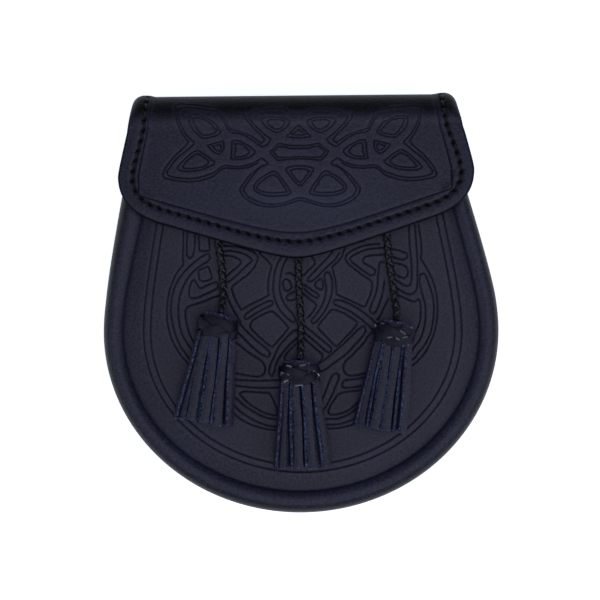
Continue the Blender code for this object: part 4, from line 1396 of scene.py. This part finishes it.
print(f"flap pattern: {2 * FLAP_HALF_WIDTH:.0f} by {PATTERN_TOP - FLAP_TIP_Y:.0f} mm")

# %% [markdown]
# ## Knotwork of the flap
# The flap's pattern is the same on both sides, so only the right half is drawn, as distances from
# its own middle line. First come the long lines that frame it.

# %% Long lines of the flap
FLAP_KNOT = [
    # The outer line of the whole knot, from the fold down and back to the middle.
    [(38, 88.6), (48, 89.9), (54, 90.3), (55.9, 89.2), (55.8, 86.2), (55.2, 82.2), (53.9, 79.1),
     (52.6, 76.4), (50.4, 73.1), (51.4, 71.6), (53.7, 69.4), (56.6, 66.7), (59.2, 63.7),
     (60.9, 61.3), (62.2, 58.3), (61.9, 57.1), (60.4, 56.3), (54.4, 55.1), (49.9, 54.9),
     (45.4, 55.3), (41.4, 56.5), (38.9, 57.5), (36.9, 59.3), (34.9, 60.7), (32.4, 61),
     (29.4, 60.6), (25.4, 60.9), (22.4, 61.7), (19.4, 63.1)],
    [(16.6, 62.3), (17.7, 61.6), (20.2, 59.7), (22.9, 57.5), (25.2, 54.5), (27.2, 51.8),
     (27.2, 50.9), (25.6, 47.8), (21.5, 44.9), (16.5, 43.4), (11.5, 43.3), (7.5, 44),
     (3.5, 45.3), (0, 46.2)],
    [(38, 86.9), (50, 88.3), (54.8, 87.4), (54.6, 84.1), (53.4, 80.6), (51.9, 77.8),
     (50.4, 75.6), (47.9, 73), (47.7, 72), (48.9, 71.2), (51.4, 68.9), (56.1, 65.2),
     (58.4, 62.2), (60.4, 59.3), (59.9, 58), (58.6, 57.4), (55.9, 56.7), (52.4, 56.3),
     (48.4, 56.3), (44.4, 57.1), (41.4, 58.1), (38.4, 59.2), (35.9, 61.3), (34.4, 62),
     (32.9, 62.2), (30.4, 61.7), (27.9, 61.6), (25.9, 61.8), (23.4, 62.4), (20.9, 63.3),
     (18.9, 64.4), (17.2, 65.6), (15.2, 64.1), (14.2, 62.8), (16.9, 61.6), (19.4, 59.9),
     (21.7, 57.1), (24.2, 53.8), (25.7, 51.5), (25.1, 50), (23.6, 47.9), (19.5, 45.7),
     (15, 44.4), (10, 44.5), (6.1, 45.4), (2.1, 46.9), (0, 47.2)],
    # The valley between the side knot and the top lobe of the middle.
    [(34.7, 85.6), (33, 82.7), (32.2, 80.7), (31.4, 79.3), (29.9, 78.5), (27.4, 77.9),
     (24.4, 76.8), (22.4, 76), (19.9, 74.4), (17.1, 72.4), (15.4, 73.8), (16.9, 75.8),
     (19.4, 78.3), (21.4, 80.5), (23.9, 83.5), (24.9, 86)],
    [(36.4, 86), (34.2, 82.7), (32.9, 80.2), (31.7, 78.1), (30.2, 77.2), (27.4, 76.9),
     (24.4, 75.8), (21.9, 74.3), (19.4, 72.4), (16.6, 70.5), (14.4, 71.9), (12.6, 74.1),
     (15.4, 76.3), (17.9, 78.7), (20.4, 81.2), (22, 83.5), (22.2, 85.4), (19.4, 86.9),
     (15.4, 87.9), (11.4, 88.3), (6.6, 88.1), (4.4, 86.7), (0, 86)],
]

# %% [markdown]
# ### Side knot
# Every cell between the bands is two lines: its edge, and a second one just inside.

# %% Side knot of the flap
FLAP_KNOT += [
    # Cells of the side knot.
    [(49.6, 85.2), (47.2, 85.5), (43.9, 84.9), (40.9, 83.2), (38.4, 81.8), (36.7, 79.6),
     (35.4, 77.4), (36.8, 76.3), (39.4, 75.3), (41.9, 74.8), (44.3, 74.9), (45.7, 76.3),
     (48.2, 78.8), (49.7, 82), (49.6, 85.2)],
    [(48.4, 83.9), (45.4, 84), (42.4, 82.9), (39.9, 81.1), (37.2, 78), (38.9, 76.8),
     (41.4, 76.2), (43.5, 76), (45.2, 77.7), (47.2, 80.8), (48.4, 83.9)],
    [(34.3, 73.4), (38.9, 72.2), (41.6, 71.5), (40.1, 69.6), (37.9, 67.8), (36.4, 67.4),
     (34.9, 68.7), (34.2, 70.7), (34.3, 73.4)],
    [(35.7, 72), (39.2, 70.8), (37.4, 69), (36.2, 68.8), (35.4, 70.2), (35.7, 72)],
    [(30.4, 73.4), (27.9, 73.6), (25.4, 72.5), (22.4, 70.8), (20.4, 69.1), (20.2, 67.9),
     (21.4, 66.7), (23.9, 65.5), (26.9, 65), (31.2, 65.1), (30.7, 68.6), (30.4, 73.4)],
    [(28.9, 72.2), (26.4, 71.9), (23.9, 70.2), (22.6, 68.5), (23.4, 67.3), (25.9, 66.2),
     (29.5, 65.9), (29, 69), (28.9, 72.2)],
    [(45.9, 69.1), (44.4, 68.2), (41.4, 66.2), (38.5, 63.8), (39.4, 62.6), (42.4, 61.1),
     (45.9, 60), (50.4, 59.6), (54.4, 60.1), (55.7, 61), (54.4, 62.9), (51.9, 65.3),
     (49.4, 67.5), (47.4, 68.8), (45.9, 69.1)],
    [(46, 67.7), (43.2, 65.9), (41.2, 64.1), (41.7, 62.9), (43.4, 61.9), (45.9, 61.2),
     (49.4, 60.8), (52.4, 61), (53.2, 61.6), (51.4, 64.1), (48.7, 66.4), (46, 67.7)],
]

# %% [markdown]
# ### Middle of the flap
# Cells that lie on the middle line are open there. Their mirror images close them.

# %% Middle of the flap
FLAP_KNOT += [
    # Cells of the middle.
    [(3.9, 82.7), (4.4, 81.1), (6.4, 79.1), (8.4, 77.7), (10.1, 77.2), (12.4, 78.2),
     (14.9, 80), (16.4, 81.8), (17.2, 83.6), (14, 84.5), (10.4, 84.5), (6.4, 84), (3.9, 82.7)],
    [(6.2, 82.5), (8.4, 83.2), (13.2, 83.2), (14.4, 82.1), (12.9, 80.3), (10.4, 78.7),
     (8.2, 79.2), (6.6, 81.1), (6.2, 82.5)],
    [(0, 80.6), (1.4, 79.6), (5.6, 75.2), (2.4, 74.8), (0, 74.8)],
    [(0, 78.9), (2.8, 76.2), (0, 76)],
    [(0, 71.1), (3.2, 71.1), (5.4, 71.4), (9.2, 72.1), (10.7, 70.8), (13.3, 68.4),
     (11.8, 66.4), (9.7, 64.3), (6.4, 64.7), (2.4, 65), (0, 65.1)],
    [(0, 69.9), (4.4, 69.9), (6.4, 70.6), (9.4, 70.8), (11.9, 68.5), (9.9, 65.9),
     (5.9, 65.6), (1.4, 66), (0, 66)],
    [(0, 61.9), (3.9, 61.5), (6.5, 60.5), (5.4, 58.6), (3.4, 56.1), (1.4, 53.6), (0, 52.9)],
    [(0, 60.5), (2.5, 60.3), (4.3, 59.5), (2.9, 57.4), (0.9, 54.9), (0, 54.4)],
    [(11.7, 59.4), (9.9, 58.4), (7.9, 55.6), (5.6, 52.6), (4.4, 50.1), (4.6, 49.1),
     (6.4, 48.6), (10.4, 48.2), (14.4, 48.2), (18.4, 49.3), (20.5, 50.5), (21, 52.2),
     (20.4, 53.7), (18.4, 55.9), (15.4, 57.8), (12.9, 59.2), (11.7, 59.4)],
    [(11.7, 57.9), (9.4, 56), (7.7, 53.1), (6.4, 51.1), (6.3, 50), (9.4, 49.6), (13.4, 49.6),
     (17.4, 50.3), (19.7, 51.3), (19.4, 52.9), (16.9, 55.3), (13.9, 57.3), (11.7, 57.9)],
]


# %% [markdown]
# ## Stamping both halves
# The plate was set down a little crooked: turned by about a degree, and a millimetre and a half
# to the right. Each line is laid out twice, once as it is drawn and once mirrored.

# %% Stamping both halves
STAMP_MIDDLE = 1.6
STAMP_TURN = 0.021         # in radians
STAMP_SHRINK = 0.991       # the plate's size, as a share of the chart's


def stamped(points, mirror):
    """A line of the half pattern laid out on one side of the flap."""
    out, height = np.asarray(points, float).T
    x = STAMP_SHRINK * (STAMP_MIDDLE + mirror * out)
    y = STAMP_SHRINK * (height - mirror * STAMP_TURN * out)
    return pressed_line(np.column_stack([x, up_the_pattern(y)]))


flap_knot = [stamped(points, mirror) for points in FLAP_KNOT for mirror in (1, -1)]
print(f"{len(flap_knot)} lines on the flap")

# %% [markdown]
# ## Seam and border
# The seam runs at one distance inside the flap's edge, but it was marked out by hand: it cuts
# across the tip and wanders a little. The pressed line inside it was struck with a rule, so it
# has sharp corners.

# %% Seam and border
STITCH_INSET = 6.5
SIDE_EXTRA = 0.9           # the seam runs so much further in near the fold
BORDER_INSET = 9.2
BORDER_TIP_ROUND = 16.0
BORDER_SIDES = (9.3, 10.4) # inset of the border's inner line on the left and on the right


def stitch_line(spacing):
    """The line that the seam follows on the pattern."""
    line = flap_line(STITCH_INSET, up_the_pattern(94.0), 1.0)
    line[:, 0] -= np.sign(line[:, 0]) * SIDE_EXTRA * smooth_step((line[:, 1] - 66.0) / 16.0)
    # It cuts across the tip, and wanders a little towards the edge on the right.
    line[:, 1] += np.exp(-(line[:, 0] / 14.0) ** 2)
    right = smooth_step((line[:, 0] - 10.0) / 50.0) * smooth_step((80.0 - line[:, 1]) / 20.0)
    line += right[:, None] * (0.6, -0.3)
    return evenly(line, spacing)


def border_line():
    """The pressed line inside the seam: two sides that meet the slopes at sharp corners."""
    slope_inset = BORDER_INSET / math.cos(math.atan(FLAP_SLOPE))
    runs = np.linspace(up_the_pattern(93.0), 44.0, 200)
    ends = []
    for mirror, inset in zip((-1, 1), BORDER_SIDES):
        side = np.stack([mirror * (flap_half_width(runs) - inset), runs], axis=1)
        ends.append(side[runs > lower_edge(side[:, 0], BORDER_TIP_ROUND) + slope_inset])
    xs = np.linspace(ends[0][-1, 0], ends[1][-1, 0], 120)[1:-1]
    slope = np.stack([xs, lower_edge(xs, BORDER_TIP_ROUND) + slope_inset], axis=1)
    return evenly(np.vstack([ends[0], slope, ends[1][::-1]]), 0.8)


# %% [markdown]
# ## Stitch slits
# The flap is saddle-stitched with an awl that cuts slanted slits, 4.6 mm apart. The slits are
# wide, since the thick thread drags the leather down with it, and their dark is painted shade. Real
# holes could be cut through the sheet, but nobody would see through them. Each slit is an oval
# dent in the mesh, with its own rings of points so that it keeps its shape.

# %% Stitch slits
STITCH_PITCH = 4.6
SLIT = (1.25, 0.72)        # half-length and half-width of a slit
SLIT_TURN = math.radians(-24.0)
SLIT_POINTS = 12           # in each ring of mesh points round a slit


def slit_places():
    """Centre and direction of every stitch slit on the pattern."""
    line = stitch_line(STITCH_PITCH)
    return line, np.arctan2(*np.gradient(line, axis=0).T[::-1]) + SLIT_TURN


def slit_rings(centres, angles):
    """Rings of mesh points round every slit."""
    turn = np.linspace(0.0, 2.0 * math.pi, SLIT_POINTS, endpoint=False)
    rings = [centres]
    for size in (0.5, 1.0, 1.5):
        wide, high = size * SLIT[0] * np.cos(turn), size * SLIT[1] * np.sin(turn)
        x = centres[:, :1] + wide * np.cos(angles)[:, None] - high * np.sin(angles)[:, None]
        y = centres[:, 1:] + wide * np.sin(angles)[:, None] + high * np.cos(angles)[:, None]
        rings.append(np.stack([x, y], axis=2).reshape(-1, 2))
    return np.vstack(rings)


def slit_dent(points, centres, angles):
    """How deep each point lies in the nearest slit, from 0 to 1."""
    tree = tree_of(centres)
    nearest = np.array([tree.find((x, y, 0.0))[1] for x, y in points])
    offset = points - centres[nearest]
    cosine, sine = np.cos(angles[nearest]), np.sin(angles[nearest])
    wide = (offset[:, 0] * cosine + offset[:, 1] * sine) / SLIT[0]
    high = (offset[:, 1] * cosine - offset[:, 0] * sine) / SLIT[1]
    return np.exp(-(wide ** 2 + high ** 2) ** 1.5)


# %% [markdown]
# ## Relief and marks of the flap
# The flap's face is a sum of small heights: the pressed lines, the slits, a border that swells a
# little and stands a layer above the field, and an edge that is rounded over. The marks follow
# from the same distances. Painting them by hand would do too, but they would slip.

# %% Relief and marks of the flap
SLIT_DEPTH = 1.1
FLAP_LINE_DEPTH = 0.40
FIELD_DROP = 0.5           # the border is a layer thicker than the field
BORDER_DOME = 0.25         # the border outside the stitches swells a little
SEAM_SINK = 0.35           # the thread draws the leather down along the whole seam
EDGE_ROUND = 1.1
SHEEN_PLACE = (4.0, 43.0) # a painted highlight lies on the middle of the flap's field
SHEEN_REACH = (42.0, 14.0)


def flap_lift(distance, edge, dent, from_seam, strength):
    """How far each point of the flap's face is raised or pressed down."""
    lift = strength * pressed_profile(distance, FLAP_LINE_DEPTH) - SLIT_DEPTH * dent
    lift += BORDER_DOME * np.sin(np.clip(edge / BORDER_INSET, 0.0, 1.0) * math.pi)
    lift -= SEAM_SINK * np.exp(-(from_seam / 0.9) ** 2)
    lift -= FIELD_DROP * smooth_step((edge - BORDER_INSET + 0.6) / 1.2)
    over_edge = np.clip(1.0 - edge / EDGE_ROUND, 0.0, 1.0)
    return lift - EDGE_ROUND * (1.0 - np.sqrt(1.0 - 0.95 * over_edge ** 2))


def flap_marks(flat, distance, edge, dent, strength):
    """Where the flap is scorched, edge-painted or darkened as painted shade, and where it is worn
    grey or lightened as a painted highlight.
    """
    scorch_and_shade = np.maximum.reduce([
        strength * np.exp(-(distance / 0.34) ** 2),         # scorched by the plate
        np.clip(1.6 * dent, 0.0, 1.0),                      # the slits, with painted shade in them
        0.05 * smooth_step((STITCH_INSET - edge) / 1.5),    # the border, burnished
        1.4 * smooth_step((flat[:, 1] - 80.0) / 12.0),      # painted shade over the fold
        1.5 * smooth_step((0.95 - edge) / 0.4),             # edge paint on the rounded edge, also a painted shadow below the flap's edge
    ])
    away = (flat - SHEEN_PLACE) / SHEEN_REACH
    wear_and_sheen = rubbed_ridge(distance, 0.35) + 0.5 * np.exp(-((edge - 1.4) / 0.4) ** 2)
    # Painted highlight: a soft patch of light on the middle of the field.
    wear_and_sheen += 0.45 * np.exp(-(away ** 2).sum(axis=1))
    return {"scorch_and_shade": scorch_and_shade, "wear_and_sheen": wear_and_sheen * (1.0 - dent)}


# %% [markdown]
# ## The flap itself
# All that is worked out above comes together: a mesh that fits every line and slit is lifted,
# marked, bent and given its thickness.

# %% Flap
FLAP_LEATHER = 3.0
FLAP_EDGE_ROWS = (0.35, 0.75, 1.2)


def flap():
    """The flap with its knotwork, its border and its slits."""
    outline = flap_line(0.0, PATTERN_TOP, 1.2)
    outline = np.vstack([outline, evenly([outline[-1], outline[0]], 2.0)[1:-1]])
    centres, angles = slit_places()
    flat, faces, distance = fit_mesh(outline, flap_knot + [border_line()], FLAP_EDGE_ROWS,
                                     [slit_rings(centres, angles)])
    edge = distances(tree_of(evenly(closed(outline), EDGE_SAMPLES)), flat)
    from_seam = distances(tree_of(stitch_line(0.5)), flat)
    dent = slit_dent(flat, centres, angles)
    # The plate pressed less hard near the fold, where the leather curves away from it.
    strength = 0.5 + 0.5 * smooth_step((88.0 - flat[:, 1]) / 22.0)
    points = bend_flap(flat, flap_lift(distance, edge, dent, from_seam, strength))
    sheet = add_piece("folded_flap", points, faces.tolist(), [flap_hide, edge_paint],
                      ["flap"], flap_marks(flat, distance, edge, dent, strength))
    add_wall(sheet, FLAP_LEATHER)


flap()

# %% [markdown]
# ## Thread
# The seam is sewn with a thick waxed thread. Wax fills the twist, so only a faint wave is left in
# its colour and its bump.

# %% Waxed thread
def waxed_thread():
    """Black linen thread, twisted and pulled through wax."""
    finish, shader, place = new_finish("black_waxed_linen_thread")
    twist = add_node(finish, "ShaderNodeTexWave", {"bands_direction": "DIAGONAL"},
                     {"Vector": place, "Scale": per_metre(0.9), "Distortion": 1.0})
    shade = add_node(finish, "ShaderNodeMix", {"data_type": "RGBA"},
                     {FACTOR: twist.outputs["Fac"], FIRST: linear("#030305"),
                      SECOND: linear("#0c0c12")})
    bump = add_node(finish, "ShaderNodeBump", None,
                    {"Height": twist.outputs["Fac"], "Strength": 0.5, "Distance": 0.1 * MM})
    feed(finish, shader, {"Base Color": shade.outputs[MIXED], "Roughness": 0.65,
                          "Normal": bump.outputs["Normal"]})
    return finish


# %% [markdown]
# ## Stitches
# Every stitch comes up out of one slit, crosses a short bridge of leather and goes down into the
# next. It lies slack enough to stand a little proud in the middle. An Array modifier along a
# curve would space the stitches too, but here they must meet the slits. They are laid out on the
# pattern and bent with it, so the row runs on over the fold.

# %% Flap stitches
THREAD_RADIUS = 0.5
THREAD_DIP = 1.0           # how far the thread sinks into a slit
THREAD_RISE = 0.12         # and how far it stands proud between two
THREAD_SIDES = 8
THREAD_STEPS = 11


def flap_stitches():
    """Every stitch of the flap's seam, as one piece."""
    centres, angles = slit_places()
    turn = np.linspace(0.0, 2.0 * math.pi, THREAD_SIDES, endpoint=False)
    section = THREAD_RADIUS * np.stack([np.cos(turn), np.sin(turn)], axis=1)
    share = np.linspace(0.0, 1.0, THREAD_STEPS)
    lift = THREAD_RISE - (THREAD_DIP + THREAD_RISE) * np.abs(2.0 * share - 1.0) ** 5
    # The thread leaves each slit near its far end and enters it near its other one.
    reach = 0.6 * SLIT[0] * np.stack([np.cos(angles), np.sin(angles)], axis=1)
    stitches = []
    for start, end in zip((centres + reach)[:-1], (centres - reach)[1:]):
        flat = start + share[:, None] * (end - start)
        line = bend_flap(flat, lift)
        away = unit(bend_flap(flat, lift + 1.0) - line)
        along = unit(np.gradient(line, axis=0))
        stitches.append(sweep(line, unit(np.cross(along, away)), away, section))
    points, faces = gather(stitches)
    row = add_piece("flap_stitches", points, faces, [waxed_thread()])
    turn_outwards(row)
    print(f"{len(stitches)} stitches")


flap_stitches()

# %% [markdown]
# ## Back panel
# The back is plain hide, dished in where the belt loops sit so that the pouch can lie flat on the
# wearer. It is hidden here, and is built as simply as it may be: rings that shrink from the
# outline to the middle. One flat face with many corners would be simpler still, but it couldn't
# be dished.

# %% Back panel
BACK_INSET = 2.4
BACK_TOP = 83.0
BACK_RINGS = 30
BACK_EDGE_Z = 0.8          # height of the back's underside at its edge,
BACK_DISH_Z = 6.9          # in the dish,
BACK_TOP_Z = 3.6           # and of both above the flap's end


def back_panel():
    """The dished back."""
    half_width, drop, taper = BODY
    outline = u_shape(half_width - BACK_INSET, drop - BACK_INSET, taper, BACK_TOP, 2.0)
    shares = np.linspace(0.02, 1.0, BACK_RINGS)
    middle = np.array([BODY_SHIFT, WAIST_Y])
    above = outline[:, 1] > WAIST_Y
    rings = []
    for share in shares:
        ring = middle + share * (outline - middle)
        ring[above] = np.column_stack([BODY_SHIFT + share * (outline[above, 0] - BODY_SHIFT),
                                       outline[above, 1]])
        rings.append(ring)
    flat = np.array(rings)
    y = flat[..., 1]
    edge = BACK_EDGE_Z + (BACK_TOP_Z - BACK_EDGE_Z) * smooth_step((y - 62.0) / 8.0)
    dish = BACK_DISH_Z + (BACK_TOP_Z - BACK_DISH_Z) * smooth_step((y - 67.0) / 10.0)
    height = edge + (dish - edge) * smooth_step((1.0 - shares[:, None]) / 0.2) + PANEL_LEATHER
    points = np.dstack([flat, height]).reshape(-1, 3)
    count = len(outline)
    faces = [(i * count + j, i * count + j + 1, (i + 1) * count + j + 1, (i + 1) * count + j)
             for i in range(BACK_RINGS - 1) for j in range(count - 1)]
    panel = add_piece("plain_back", points, faces, [back_hide, edge_paint],
                      ["back_panel"])
    add_wall(panel, PANEL_LEATHER)


back_panel()

# %% [markdown]
# ## Brass
# The little stud that keeps the flap shut is turned from brass bar. It has a soft, handled shine
# with faint lathe marks, and it is tarnished in places. Noise at two sizes gives both.

# %% Brass
def turned_brass():
    """Brass with fine lathe marks and a little tarnish."""
    finish, shader, place = new_finish("turned_brass")
    tarnish = add_node(finish, "ShaderNodeTexNoise", None,
                       {"Vector": place, "Scale": per_metre(3.0), "Detail": 4.0})
    turning = add_node(finish, "ShaderNodeTexNoise", None,
                       {"Vector": place, "Scale": per_metre(0.4), "Detail": 1.0})
    colour = add_node(finish, "ShaderNodeMix", {"data_type": "RGBA"},
                      {FACTOR: tarnish.outputs["Fac"], FIRST: linear("#a5813f"),
                       SECOND: linear("#d8b56a")})
    shine = add_node(finish, "ShaderNodeMapRange", None,
                     {"Value": tarnish.outputs["Fac"], "To Min": 0.42, "To Max": 0.22})
    bump = add_node(finish, "ShaderNodeBump", None,
                    {"Height": turning.outputs["Fac"], "Strength": 0.2, "Distance": 0.05 * MM})
    feed(finish, shader, {"Base Color": colour.outputs[MIXED], "Metallic": 1.0,
                          "Roughness": shine.outputs["Result"],
                          "Normal": bump.outputs["Normal"]})
    return finish


# %% [markdown]
# ## Belt loops and stud
# Three parts are right as they were packed and only need their finish: the two loops on the back,
# of the same plain hide, and the stud. Making them again would add nothing.

# %% Carried-over parts
def refinish(node_name, finish):
    """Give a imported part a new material."""
    for material_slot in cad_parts[node_name].material_slots:
        material_slot.material = finish


refinish("belt_loop_left", back_hide)
refinish("belt_loop_right", back_hide)
refinish("flap_stud", turned_brass())
print("refinished: two belt loops and the stud")
